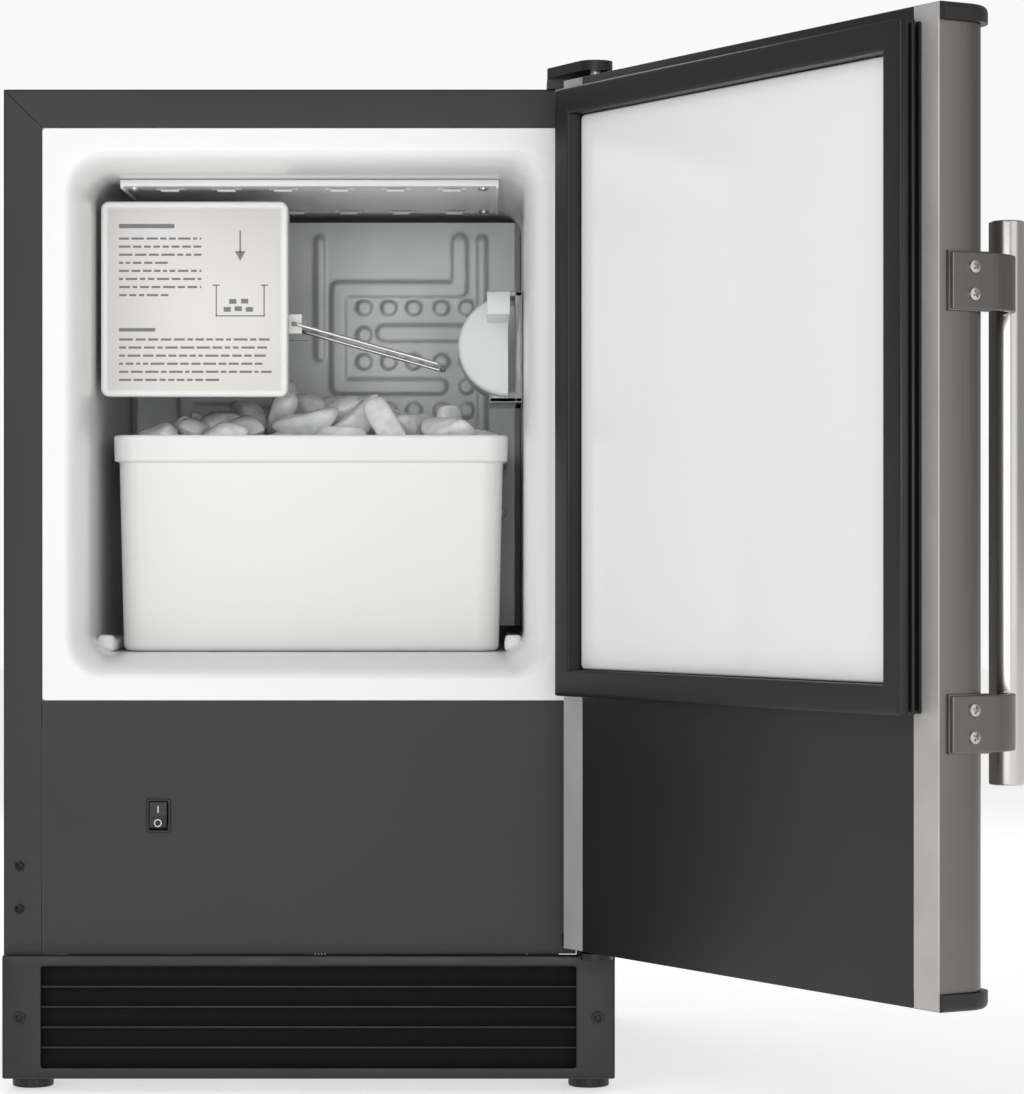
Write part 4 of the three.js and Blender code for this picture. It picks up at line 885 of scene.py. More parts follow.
tray_low, tray_high = span("ceiling_tray")
tray_middle = (tray_low[0] + tray_high[0]) / 2
tray_slots = [
    (x - 9.4, x + 9.4, y, y + 15.0)
    for x in tray_middle + 35.7 * (np.arange(6) - 2.5)
    for y in (tray_low[1] + 9.0, tray_high[1] - 22.0)
]
tray = put(
    "ceiling_tray_moulding", [pierced(tray_low, tray_high, tray_slots)],
    liner_white, "cabinet", ["ceiling_tray"],
)
soften(tray, 0.7)
tongue_foot, tongue_top = tray_low[2] - 1.6, tray_low[2] + 0.4
tongues = [
    block((x0 + 3.5, y1 - 5.5, tongue_foot), (x1 - 3.5, y1 + 0.5, tongue_top), 0.7)
    for x0, x1, _, y1 in tray_slots
]
rim_width, rim_drop = 2.2, 1.4
front_rim_end = (tray_high[0], tray_low[1] + rim_width, tray_high[2] - 0.2)
tray_rim = [block(tray_low + (0, -0.6, 1.2), front_rim_end, 1.0)]
for left in (tray_low[0], tray_high[0] - rim_width):
    rim_corner = (left, tray_low[1] + 1, tray_low[2] - rim_drop)
    tray_rim.append(block(rim_corner, (left + rim_width, tray_high[1], tray_low[2] + 1), 1.0))
put("ceiling_tray_rim", tongues + tray_rim, liner_white, "cabinet")


def bright_screw_steel():
    """Stainless screw steel: bright, with faint turning marks."""
    material, shader = surface("bright_screw_steel", "b9b7b3", 0.28, metallic=1.0)
    grain(material, shader, 0.4, 0.004)
    return material


screw_steel = bright_screw_steel()
tray_screws = [(x, y, tray_low[2], x) for x in (tray_low[0] + 8, tray_high[0] - 10) for y in (58, 216)]
put_screws("ceiling_tray_screws", tray_screws, (0, 0, -1), 3.4, 2.0, screw_steel)

# ---- Evaporator plate ----
# Two aluminium sheets roll-bonded together and blown apart along the refrigerant's path, so that the
# channels stand out in relief, with dimples where the sheets are tied between them.


def roll_bond_aluminium():
    """Anodised aluminium: pale grey, brushed along the sheet, half matt."""
    material, shader = surface("roll_bond_aluminium", "c3c6c5", 0.4, metallic=0.35)
    grain(material, shader, 0.6, 0.008, stretch=(0.08, 1, 1))
    mottle(material, shader, ("bec1c0", "cacdcb"), 45)
    return material


def painted_shadow_strip():
    """A matt grey that is painted shadow: it stands for the shadow line in the gaps beside the plate."""
    material, shader = surface("painted_shadow_edge_strip", "b9bbba", 0.55)
    grain(material, shader, 1.0, 0.01)
    return material


def from_path(x, z, path):
    """Distance of each point of a grid to a path of straight runs."""
    nearest = np.full(x.shape, 1e9)
    for (ax, az), (bx, bz) in zip(path[:-1], path[1:]):
        run = np.array([bx - ax, bz - az])
        along = np.clip(((x - ax) * run[0] + (z - az) * run[1]) / max(run @ run, 1e-9), 0, 1)
        nearest = np.minimum(nearest, np.hypot(x - ax - along * run[0], z - az - along * run[1]))
    return nearest


def plate_relief(x, z):
    """How far the front sheet stands out: a smooth shoulder along each channel and round each dimple."""
    channels = [
        ([(-7, 548), (-7, 468)], 3.2),
        ([(105.5, 548), (105.5, 300)], 3.2),
        ([(6, 509), (6, 447), (76, 447)], 5.2),
        ([(6, 514.5), (90, 514.5), (90, 547)], 5.2),
        ([(38, 484), (96, 484)], 5.6),
        ([(-60, 440), (-100, 440), (-100, 320), (80, 320)], 5.2),
        ([(-80, 400), (90, 400)], 5.2),
        ([(-80, 360), (90, 360)], 5.2),
    ]
    shoulder, dimple_radius = 1.1, 5.6
    shape = np.zeros(x.shape)
    for path, half in channels:
        distance = from_path(x, z, path)
        shape = np.maximum(shape, 0.5 - 0.5 * np.tanh((distance - half) / shoulder))
    for row, height in enumerate((501.6, 482.9, 464.1, 447.1, 430.4)):
        for column in (23.8, 40.9, 58.2, 77.3, 94.9):
            if row == 1 and 30 < column < 100 or row == 3 and column < 90:
                continue
            distance = np.hypot(x - column, z - height)
            shape = np.maximum(shape, 0.25 - 0.75 * np.tanh(distance - dimple_radius))
    return shape


def evaporator():
    """A front sheet as a grid of heights, closed by a flat back and its four edges."""
    low, high = span("evaporator_plate")
    x = np.linspace(low[0], high[0], 190)
    z = np.linspace(low[2], high[2], 200)
    grid_x, grid_z = np.meshgrid(x, z)
    front = low[1] + 0.3 - 0.8 * plate_relief(grid_x, grid_z)
    points = np.stack([grid_x, front, grid_z], -1)
    index = np.arange(grid_x.size).reshape(grid_x.shape)
    quads = np.stack([index[:-1, :-1], index[:-1, 1:], index[1:, 1:], index[1:, :-1]], -1).reshape(-1, 4)
    rim = np.concatenate([index[0], index[1:, -1], index[-1, -2::-1], index[-2:0:-1, 0]])
    back = points.reshape(-1, 3)[rim].copy()
    back[:, 1] = high[1]
    first = grid_x.size
    around = np.arange(len(rim))
    walls = np.stack([rim, np.roll(rim, -1), first + np.roll(around, -1), first + around], -1)
    faces = quads.tolist() + walls.tolist() + [(first + around)[::-1].tolist()]
    return np.concatenate([points.reshape(-1, 3), back]), faces


put(
    "evaporator_sheet", [evaporator()],
    roll_bond_aluminium(), "cabinet", ["evaporator_plate"],
)

# Grey strips close the narrow gaps between the plate and the side walls; their grey is painted shadow,
# standing for the shadow line along the plate's edges.
sheet_low, sheet_high = span("evaporator_plate")
strip_gap, strip_lap = 0.4, 0.3
edge_strips = [
    block((left, sheet_low[1] + 0.4, sheet_low[2]), (right, sheet_high[1], sheet_high[2]), 0.4)
    for left, right in (
        (cavity[0] + strip_gap, sheet_low[0] + strip_lap), (sheet_high[0] - strip_lap, cavity[1] - strip_gap),
    )
]
put("evaporator_edge_shadow_strips", edge_strips, painted_shadow_strip(), "cabinet")

# ---- Module cover ----
# A moulded front with a raised rim round a recessed field; a printed label of plain bars and a simple
# drawing of the bin fills the field.


def white_moulded_plastic():
    """Injection-moulded white ABS: satin with a fine texture."""
    material, shader = surface("white_moulded_abs", "ececea", 0.38)
    grain(material, shader, 0.7, 0.01)
    return material


def label_film():
    """Warm grey printed polyester film: smooth and half glossy."""
    material, shader = surface("warm_grey_label", "dcdad5", 0.3)
    grain(material, shader, 6, 0.01)
    return material


def label_ink():
    """Dark grey screen print."""
    return surface("grey_label_ink", "77767a", 0.5)[0]


white_abs = white_moulded_plastic()
cover_low, cover_high = span("module_cover")
cover_outline = outline_of(cover_low, cover_high)
field, field_y = cover_outline - 4.4 * outwards, cover_low[1] + 1.0


def cover_front():
    """Rounded rectangles from the cover's back edge over its rim and down to the field."""
    front, back, rim, corner, edge_round = cover_low[1], cover_high[1], 4.0, 5.0, 1.8
    stations = [inset(cover_outline, 2.2, 3.0, back), inset(cover_outline, 0, corner, back)]
    for turn in quarter(7):
        draw = edge_round * (1 - np.cos(turn))
        stations.append(inset(cover_outline, draw, corner - draw, front + edge_round * (1 - np.sin(turn))))
    stations += [
        inset(cover_outline, rim - 0.6, 2.0, front),
        inset(cover_outline, rim - 0.2, 1.7, front + 0.2),
        inset(cover_outline, rim, 1.5, field_y),
    ]
    return skin(nested(stations, steps=6), caps=(False, True))


put("module_cover_moulding", [cover_front()], white_abs, "cabinet", ["module_cover"])
put(
    "module_label", [block((field[0], field_y - 0.25, field[2]), (field[1], field_y + 0.1, field[3]), 0.05)],
    label_film(), "cabinet",
)


def label_print():
    """Rows of short bars that stand for words, two headings, and a drawing of a bin under an arrow."""
    random = np.random.default_rng(7)
    front, ink, margin, row_pitch = field_y - 0.29, 0.06, field[0] + 7, 5.1
    parts = []

    def mark(x0, x1, z0, z1):
        parts.append(block((x0, front, z0), (x1, front + ink, z1), 0.02, 1))

    def words(z, end, longest, overrun):
        """One row of bars of random length; the last may pass the row's end by the overrun."""
        x = margin
        while x < end:
            wide = min(random.uniform(2.5, longest), end - x + overrun)
            mark(x, x + wide, z - 0.7, z + 0.7)
            x += wide + 1.6

    mark(margin, field[0] + 42, field[3] - 12.5, field[3] - 9.8)
    for row in range(8):
        words(field[3] - 19 - row * row_pitch, field[0] + (58 if row % 4 != 3 else 38), 8.5, 1.0)
    left, right, foot, top = field[0] + 68, field[0] + 99, field[2] + 46, field[3] - 14
    middle = (left + right) / 2
    for line in (
        (left, right, foot, foot + 0.8),
        (left, left + 0.8, foot, foot + 20),
        (right - 0.8, right, foot, foot + 20),
        (left - 2, left + 2.5, foot + 19.4, foot + 20.2),
        (right - 2.5, right + 2, foot + 19.4, foot + 20.2),
        (middle - 0.5, middle + 0.5, top - 14, top),
    ):
        mark(*line)
    tip = [(middle, top - 19), (middle - 3.4, top - 13), (middle + 3.4, top - 13)]
    parts.append(skin(np.array([[(x, y, z) for x, z in tip] for y in (front, front + ink)])))
    for x, z in ((5, 3), (12, 3.4), (19, 3), (8.5, 8), (16, 8.2)):
        mark(left + x, left + x + 4.6, foot + z, foot + z + 3)
    mark(margin, field[0] + 30, field[2] + 36.5, field[2] + 38.7)
    for row in range(6):
        words(field[2] + 31.5 - row * row_pitch, field[1] - 12 - (row == 5) * 34, 9.0, 9.0)
    return parts


put("module_label_print", label_print(), label_ink(), "cabinet")

# ---- Ice module behind the cover ----
# A white housing for the motor and the timing cam, the cast mould with its seven pockets, and the shaft
# whose blades push the ice out over the stripper.


def cast_aluminium():
    """Die-cast aluminium: mid grey, dull, with the die's slight grain."""
    material, shader = surface("cast_aluminium", "9c9e9f", 0.45, metallic=0.8)
    grain(material, shader, 1.4, 0.03)
    mottle(material, shader, ("8f9192", "a8aaab"), 20)
    return material


def grey_moulded_plastic():
    """Glass-filled polyamide: mid grey and matt."""
    material, shader = surface("grey_polyamide", "8b8c8b", 0.5)
    grain(material, shader, 0.8, 0.02)
    return material


aluminium = cast_aluminium()
grey_plastic = grey_moulded_plastic()
for node, finish in (
    ("module_housing", white_abs), ("ejector_motor", black_plastic), ("timing_cam", grey_plastic),
    ("ice_mould", aluminium), ("ice_stripper", grey_plastic), ("fill_cup", white_abs),
):
    dress(node, finish)
    soften(node_objects[node], 0.4, 1)


module_axis_x, shaft_axis_z = -84.3, 503.0


def ejector():
    """A turned shaft with one rounded blade over each pocket, raised to where the motor parks them."""
    low, high = span("ejector_shaft")
    mould_low, mould_high = span("ice_mould")
    profile = [
        (0, low[1]), (4, low[1]), (4, low[1] + 4), (5, low[1] + 4.4),
        (5, high[1] - 0.6), (4.4, high[1]), (0, high[1]),
    ]
    parts = [turned(profile, (module_axis_x, 0, shaft_axis_z), "y")]
    front, back = mould_low[1] + 4, mould_high[1] - 4
    park, pockets = np.radians(118), 7
    for i in range(pockets):
        y = front + (back - front) * (i + 0.5) / pockets
        points, faces = block((3.5, y - 3, -1.5), (24, y + 3, 1.5), 1.2, 3)
        x = module_axis_x + points[:, 0] * np.cos(park) - points[:, 2] * np.sin(park)
        z = shaft_axis_z + points[:, 0] * np.sin(park) + points[:, 2] * np.cos(park)
        parts.append((np.stack([x, points[:, 1], z], -1), faces))
    return parts


put("ejector_shaft_moulding", ejector(), grey_plastic, "ejector", ["ejector_shaft"])

# ---- Fill tube ----
# A white tube out of the rear wall that turns down over the mould's fill cup.


def tube(corners, radius, bend, sides=20):
    """A round tube through corners: each is a circular arc of the bend's radius, tangent to both runs."""
    corners = np.array(corners, float)
    path = [corners[0]]
    for before, here, after in zip(corners[:-2], corners[1:-1], corners[2:]):
        back = (before - here) / np.linalg.norm(before - here)
        on = (after - here) / np.linalg.norm(after - here)
        half = np.arccos(np.clip(back @ on, -1, 1)) / 2
        reach = bend / np.tan(half)
        towards = (back + on) / np.linalg.norm(back + on)
        centre = here + towards * bend / np.sin(half)
        start, end = here + back * reach - centre, here + on * reach - centre
        whole = np.pi - 2 * half
        for t in np.linspace(0, 1, 9):
            path.append(centre + (np.sin((1 - t) * whole) * start + np.sin(t * whole) * end) / np.sin(whole))
    path.append(corners[-1])
    path = np.array(path)
    heading = np.gradient(path, axis=0)
    heading[0], heading[-1] = path[1] - path[0], path[-1] - path[-2]
    heading /= np.linalg.norm(heading, axis=1)[:, None]
    across = np.cross(heading[0], [0.31, 0.52, 0.8])
    angle = full_turn(sides)[:, None]
    rings = []
    for place, way in zip(path, heading):
        across = across - (across @ way) * way
        across /= np.linalg.norm(across)
        other = np.cross(way, across)
        rings.append(place + radius * (np.cos(angle) * across + np.sin(angle) * other))
    return skin(np.array(rings))


fill_low, fill_high = span("fill_tube")
fill_radius = 5.0
fill_front, fill_back = fill_low[1] + fill_radius, fill_high[1] - fill_radius
fill_z = fill_high[2] - fill_radius
fill_path = [
    (module_axis_x, fill_back, fill_low[2]), (module_axis_x, fill_back, fill_z),
    (module_axis_x, fill_front, fill_z), (module_axis_x, fill_front, fill_z - 12),
]
put("fill_tube_bend", [tube(fill_path, fill_radius, 9)], white_abs, "cabinet", ["fill_tube"])

# ---- Shut-off arm ----
# Stainless wire bent into a bail: it rises with the heap and stops the harvest when the bin is full.


def polished_wire():
    """Drawn stainless wire, bright."""
    material, shader = surface("bright_steel_wire", "c4c3c1", 0.2, metallic=1.0)
    grain(material, shader, 0.3, 0.004, stretch=(0.2, 1, 1))
    return material


arm_x, arm_z, arm_reach, arm_slope = -13.4, 476.4, 98.5, np.radians(15.7)
tip_x, tip_z = arm_x + arm_reach * np.cos(arm_slope), arm_z - arm_reach * np.sin(arm_slope)
bail_front, bail_back, front_pivot, rear_pivot = 68, 146, 86.5, 160.5
arm_path = [
    (arm_x, front_pivot, arm_z), (arm_x, bail_front, arm_z), (tip_x, bail_front, tip_z),
    (tip_x, bail_back, tip_z), (arm_x, bail_back, arm_z), (arm_x, rear_pivot, arm_z),
]
put(
    "shutoff_arm_wire", [tube(arm_path, 1.15, 4.5, sides=14)],
    polished_wire(), "shutoff_arm", ["shutoff_arm"],
)

# ---- Scoop and holder ----
# A moulded half-round scoop with a strap handle hangs on its side between the two lips of a clear
# holder on the right wall.


def translucent_plastic():
    """Natural polypropylene: milky, satin, light glows a little way into it."""
    material, shader = surface("natural_polypropylene", "eef0f0", 0.35)
    shader.inputs["Transmission Weight"].default_value = 0.25
    shader.inputs["Subsurface Weight"].default_value = 0.4
    shader.inputs["Subsurface Radius"].default_value = (0.006, 0.006, 0.006)
    grain(material, shader, 5, 0.03)
    return material


def clear_holder_plastic():
    """Clear polycarbonate, faintly grey at its edges."""
    material, shader = surface("clear_polycarbonate", "e9eded", 0.12, ior=1.58)
    shader.inputs["Transmission Weight"].default_value = 0.7
    grain(material, shader, 8, 0.02)
    return material


scoop_x, scoop_z, scoop_r = 122.7, 462.8, 31.8
scoop_front, scoop_back = 85.0, 189.0


def scoop_bowl():
    """A half tube closed at its front: each ring is the outer half circle and then the inner one back."""
    turn = np.linspace(np.pi / 2, 1.5 * np.pi, 40)
    wall = 2.0

    def half_ring(outer, inner, place, mouth=0.0):
        out_x, out_z = scoop_x + outer * np.cos(turn), scoop_z + outer * np.sin(turn)
        in_x, in_z = scoop_x + inner * np.cos(turn[::-1]), scoop_z + inner * np.sin(turn[::-1])
        x = np.concatenate([out_x, in_x])
        y = place - mouth * np.clip((scoop_x - x) / scoop_r, 0, 1)
        return np.stack([x, y, np.concatenate([out_z, in_z])], -1)

    nose, shut, hollow, mouth_slant = 3.0, 0.01, scoop_r - wall, 26
    rings = []
    for a in quarter(6):
        rings.append(half_ring(scoop_r - nose * (1 - np.sin(a)), shut, scoop_front + nose * (1 - np.cos(a))))
    rings += [half_ring(scoop_r, shut, scoop_front + 3.1), half_ring(scoop_r, hollow, scoop_front + 3.2)]
    rings += [half_ring(scoop_r, hollow, y) for y in np.linspace(scoop_front + 12, scoop_back - 30, 6)]
    rings.append(half_ring(scoop_r, hollow, scoop_back - 0.8, mouth_slant))
    rings.append(half_ring(scoop_r - 0.7, scoop_r - 1.3, scoop_back, mouth_slant))
    return skin(np.array(rings))


def scoop_handle():
    """A strap: a path in the Y-Z plane, thick across it, drawn in at both of its side edges."""
    path = np.array([
        (86, 16.5), (80, 17.5), (72, 20.5), (64, 23.5), (58, 25.4), (46, 27.4),
        (34, 29.2), (28, 29.6), (24.4, 28.8), (22.2, 26.2), (21.5, 22.5), (21.5, 16.2),
    ]) + [0, scoop_z]
    heading = np.gradient(path, axis=0)
    heading /= np.linalg.norm(heading, axis=1)[:, None]
    normal = np.stack([-heading[:, 1], heading[:, 0]], -1)
    left = scoop_x - 13.3
    upper = [(0.0, 1.0), (0.35, 1.45), (1.0, 1.5), (13.3, 1.5), (13.95, 1.45), (14.3, 1.0)]
    section = upper + [(x, -t) for x, t in upper[::-1]]
    rings = []
    for place, out in zip(path, normal):
        rings.append([(left + x, place[0] + t * out[0], place[1] + t * out[1]) for x, t in section])
    return skin(np.array(rings))


put(
    "ice_scoop_moulding", [scoop_bowl(), scoop_handle()],
    translucent_plastic(), "ice_scoop", ["ice_scoop"],
)


def holder():
    """A flat back with two square lips, each with its edges rounded."""
    low, high = span("scoop_holder")
    plate = block((high[0] - 5, low[1], low[2]), high, 0.8)
    lower = block((scoop_x - 12, low[1], low[2]), (high[0], high[1], low[2] + 3.6), 0.8)
    upper = block((scoop_x - 7, low[1], high[2] - 3.6), high, 0.8)
    stop = block((scoop_x - 12, low[1], low[2]), (high[0] - 4, low[1] + 2.2, low[2] + 7.2), 0.8)
    return [plate, lower, upper, stop]


put("scoop_holder_moulding", holder(), clear_holder_plastic(), "cabinet", ["scoop_holder"])

# ---- Door shell ----
# One sheet of brushed stainless steel bent round the front and both edges, with a return flange behind;
# its grain runs upright.


def brushed_stainless():
    """Stainless steel with a No. 4 finish: fine upright scratches that stretch every reflection."""
    material, shader = surface("brushed_stainless_steel", "726e6b", 0.34, metallic=1.0)
    shader.inputs["Anisotropic"].default_value = 0.5
    grain(material, shader, 0.5, 0.006, stretch=(1, 1, 0.012))
    mottle(material, shader, (0.28, 0.4), 0.9, stretch=(1, 1, 0.01), socket="Roughness")
    return material


stainless = brushed_stainless()
skin_low, skin_high = span("door_skin")
panel_low, panel_high = span("door_inner_panel")
door_half, door_plane, door_front = skin_high[0], skin_high[1], skin_low[1]
door_foot, door_top = span("door_bottom_cap")[0][2], span("door_top_cap")[1][2]


def door_outline(inwards):
    """The door from above: square behind, a quarter circle at each front corner."""
    edge, back, front = door_half - inwards, door_plane - inwards, door_front + inwards
    radius = 16.5 - inwards
    turn = quarter(11)
    left = np.stack([-edge + radius * (1 - np.cos(turn)), front + radius * (1 - np.sin(turn))], -1)
    right = (left * [-1, 1])[::-1]
    return np.concatenate([[[-edge, back]], left, right, [[edge, back]]])


def stacked(outlines):
    """Outlines of equal length at rising heights as rings."""
    return np.array([np.column_stack([flat, np.full(len(flat), height)]) for flat, height in outlines])


def door_shell():
    """The sheet's section: outside face, the two return flanges and the inside face back again."""
    sheet, flange = 1.2, 21.8
    edge = np.array([
        [flange - door_half, door_plane], [1.0 - door_half, door_plane],
        [0.3 - door_half, door_plane - 0.3], [-door_half, door_plane - 1.0],
    ])
    lip = np.array([[flange - door_half, door_plane - sheet]])
    outside = np.concatenate([edge, door_outline(0.0)[1:-1], edge[::-1] * [-1, 1]])
    inside = np.concatenate([lip, door_outline(sheet), lip * [-1, 1]])
    section = np.concatenate([outside, inside[::-1]])
    return skin(stacked([(section, z) for z in np.linspace(skin_low[2], skin_high[2], 3)]))


def mill_finish():
    """The untreated reverse of the sheet: pale, satin, without the brushed grain."""
    material, shader = surface("mill_finish_steel", "bdbbb9", 0.5, metallic=0.45)
    grain(material, shader, 0.9, 0.01)
    mottle(material, shader, ("b7b5b3", "c3c1bf"), 40)
    return material


flange_x = door_half - 11.0
flange_back, flange_face = door_plane - 1.1, door_plane + 0.06
return_flanges = [
    block((x - 10.9, flange_back, door_foot + 0.5), (x + 10.3, flange_face, door_top - 0.5), 0.05, 1)
    for x in (-flange_x, flange_x)
]
put("door_return_flanges", return_flanges, mill_finish(), "door", on_door=True)
put("door_skin_steel", [door_shell()], stainless, "door", ["door_skin"], on_door=True)


def rigid_foam():
    """Poured polyurethane foam: straw-coloured, matt, finely cellular."""
    material, shader = surface("straw_insulation_foam", "d9cfa8", 0.95)
    grain(material, shader, 1.0, 0.15)
    mottle(material, shader, ("d2c79c", "dfd6b4"), 30)
    return material


foam = rigid_foam()
dress("door_foam", foam)
dress("cabinet_foam", foam)

# ---- Door inner panel and end caps ----
# A black sheet closes the back of the door; black moulded caps close its top and bottom and hold the
# bores for the hinge pins.


def black_painted_sheet():
    """Black polyester paint on steel: smooth, low gloss."""
    material, shader = surface("black_painted_sheet", "0f0f10", 0.48)
    grain(material, shader, 3, 0.012)
    mottle(material, shader, ("131314", "191919"), 140)
    return material


inner_sheet = block((*panel_low[:2], door_foot + 0.4), (*panel_high[:2], door_top - 0.4), 0.4)
put(
    "door_inner_sheet", [inner_sheet],
    black_painted_sheet(), "door", ["door_inner_panel"], on_door=True,
)


def end_cap(node, rounds_up):
    """The door's outline stacked upwards, drawn in along a quarter circle at the outer face."""
    low, high = span(node)
    edge_round, cap_proud = 3.6, 3.8
    outlines = [(door_outline(-cap_proud), 0.0)]
    for turn in quarter(6):
        flat = door_outline(edge_round * (1 - np.cos(turn)) - cap_proud)
        outlines.append((flat, high[2] - low[2] - edge_round * (1 - np.sin(turn))))
    placed = [(flat, low[2] + height if rounds_up else high[2] - height) for flat, height in outlines]
    rings = stacked(placed)
    rings[:, :, 1] = np.minimum(rings[:, :, 1], door_plane - 1.3)
    return skin(rings)


for node, rounds_up in (("door_top_cap", True), ("door_bottom_cap", False)):
    put(
        f"{node}_moulding", [end_cap(node, rounds_up)],
        black_plastic, "door", [node], on_door=True,
    )

# ---- Door gasket ----
# An extruded black vinyl bellows with a broad magnetic lip, its corners welded; it is pressed into a
# groove round the white panel.


def black_vinyl():
    """Plasticised vinyl: black, smooth, with a soft sheen."""
    material, shader = surface("black_gasket_vinyl", "0c0c0d", 0.36)
    grain(material, shader, 2.5, 0.012)
    return material


def gasket():
    """The bellows' section carried round the door: u is the distance in from the outer edge, t the rise."""
    low, high = span("door_gasket")
    rise = high[1] - low[1]
    section = [
        (1.0, 0.0), (1.0, 1.6), (2.6, 2.1), (3.2, 2.9), (2.6, 3.6), (0.9, 4.1), (0.35, 4.8), (0.35, 5.6),
        (0.9, 6.3), (2.8, 6.8), (3.4, 7.5), (2.8, 8.2), (0.6, 8.7), (0.1, 9.2), (0.0, 10.0),
        (0.0, rise - 1.4), (0.3, rise - 0.5), (1.1, rise - 0.1), (2.4, rise), (8.0, rise), (13.6, rise),
        (15.2, rise - 0.1), (15.8, rise - 0.5), (16.0, rise - 1.2), (16.0, 0.0),
    ]
    stations = [inset(outline_of(low, high), u, 0.6, low[1] + t) for u, t in section]
    return skin(nested(stations, steps=1), loop=True)


put(
    "door_gasket_bellows", [gasket()],
    black_vinyl(), "door", ["door_gasket"], on_door=True, sharp=48,
)

# ---- Door white panel ----
# A glossy vacuum-formed panel that fills the gasket's frame, with a rolled edge.


def glossy_white_sheet():
    """Glossy polystyrene sheet, white, with the slight waviness of a formed panel."""
    material, shader = surface("glossy_white_polystyrene", "efefef", 0.16, coat=0.3)
    grain(material, shader, 60, 0.25, detail=0.5)
    return material


def white_panel():
    """Rounded rectangles: up the edge and over a quarter circle to the flat."""
    low, high = span("door_white_panel")
    outer, top = outline_of(low, high), high[1]
    corner, edge_round = 3.0, 1.4
    stations = [inset(outer, 0, corner, low[1])]
    for turn in quarter(7):
        draw = edge_round * (1 - np.cos(turn))
        stations.append(inset(outer, draw, corner - draw * 0.5, top - edge_round * (1 - np.sin(turn))))
    stations.append(inset(outer, 7.0, 2.0, top - 0.05))
    return skin(nested(stations, steps=6))


put(
    "door_white_sheet", [white_panel()],
    glossy_white_sheet(), "door", ["door_white_panel"], on_door=True, sharp=60,
)

# ---- Door handle ----
# A stainless tube carried by two straps that are screwed to the door's free edge and bend round to it.


def bright_brushed_tube():
    """Stainless tube brushed along its length, brighter than the door."""
    material, shader = surface("bright_brushed_tube", "c3c1be", 0.24, metallic=1.0)
    grain(material, shader, 0.5, 0.005, stretch=(1, 1, 0.012))
    return material


def bar_profile(foot, top, radius, edge, steps=6):
    """The half outline of an upright round bar, both of its ends eased by a quarter circle."""
    turn = quarter(steps)
    profile = [(0, foot)]
    profile += [(radius - edge * (1 - np.sin(a)), foot + edge * (1 - np.cos(a))) for a in turn]
    profile += [(radius - edge * (1 - np.cos(a)), top - edge * (1 - np.sin(a))) for a in turn]
    return [*profile, (0, top)]


tube_low, tube_high = span("handle_tube")
tube_x, tube_y = (tube_low[0] + tube_high[0]) / 2, (tube_low[1] + tube_high[1]) / 2
tube_radius = 9.6
handle_bar = turned(bar_profile(tube_low[2], tube_high[2], tube_radius, 1.2), (tube_x, tube_y, 0), sides=64)
put(
    "handle_tube_bar", [handle_bar],
    bright_brushed_tube(), "door", ["handle_tube"], on_door=True,
)
strap_face = -door_half - 0.6


def handle_strap(node):
    """The strap from above: straight along the door's edge, then a bend that ends at the tube's middle."""
    low, high = span(node)
    thickness, bend, bend_start = 4.0, 30.4, 5.8
    start, outer = door_plane - 6.0, strap_face - thickness
    turn_x, turn_y = outer + bend, tube_y + bend_start + bend
    turn = np.linspace(0, 0.49 * np.pi, 16)

    def arc(radius):
        return np.stack([turn_x - radius * np.cos(turn), turn_y - radius * np.sin(turn)], -1)

    section = np.concatenate([[[strap_face, start], [outer, start]], arc(bend), arc(bend - thickness)[::-1]])
    return skin(stacked([(section, low[2]), (section, high[2])]))


for node in ("handle_bracket_lower", "handle_bracket_upper"):
    strap = put(
        f"{node}_strap", [handle_strap(node)], stainless, "door", [node], on_door=True,
    )
    soften(strap, 0.7)
    strap_foot, strap_top = span(node)[0][2], span(node)[1][2]
    backing = block(
        (strap_face - 1.6, door_plane - 33.0, strap_foot - 0.8),
        (strap_face + 0.5, door_plane - 5.2, strap_top + 0.8), 0.6,
    )
    put(f"{node}_backing", [backing], stainless, "door", on_door=True)
    strap_screws = [(strap_face - 4.0, door_plane - 19.7, z, z) for z in (strap_foot + 8.0, strap_top - 7.6)]
    put_screws(f"{node}_screws", strap_screws, (-1, 0, 0), 3.4, 2.0, screw_steel, on_door=True)

# ---- Hinges ----
# Two black plates carry fixed steel pins on which the door's end caps turn.


def black_zinc_plate():
    """Thick steel plate, zinc plated and passivated black, lightly glossy."""
    material, shader = surface("black_zinc_plate", "202021", 0.34, metallic=0.35)
    grain(material, shader, 1.5, 0.02)
    return material


hinge_black = black_zinc_plate()
for node in ("top_hinge_bracket", "bottom_hinge_bracket"):
    dress(node, hinge_black)
    soften(node_objects[node], 0.8, 3)


def hinge_pin(node):
    """A round pin with chamfered ends."""
    low, high = span(node)
    profile = bar_profile(low[2], high[2], (high[0] - low[0]) / 2, 0.6, steps=2)
    return turned(profile, ((low[0] + high[0]) / 2, (low[1] + high[1]) / 2, 0))


for node, finish in (("top_hinge_pin", screw_steel), ("bottom_hinge_pin", black_zinc)):
    put(f"{node}_steel", [hinge_pin(node)], finish, "cabinet", [node])
hinge_low, hinge_high = span("top_hinge_bracket")
hinge_screw_xs = (hinge_low[0] + 9, hinge_high[0] - 9)
top_screws = [(x, y, hinge_low[2] + 7.7, x) for x in hinge_screw_xs for y in (20, 36)]
put_screws("top_hinge_screws", top_screws, (0, 0, 1), 3.8, 2.2, black_zinc)
lower_low, lower_high = span("bottom_hinge_bracket")
lower_middle = (lower_low[0] + lower_high[0]) / 2
lower_screws = [(lower_middle, lower_high[1] - 3.0, z, z) for z in hinge_screw_heights]
put_screws("bottom_hinge_screws", lower_screws, (0, -1, 0), 3.4, 1.9, black_zinc)

# ---- Rear panel, deck and base pan ----
# Galvanised sheet: the panel closes the insulation from behind, the deck carries it over the machine
# compartment and the pan catches condensate under the refrigeration set.


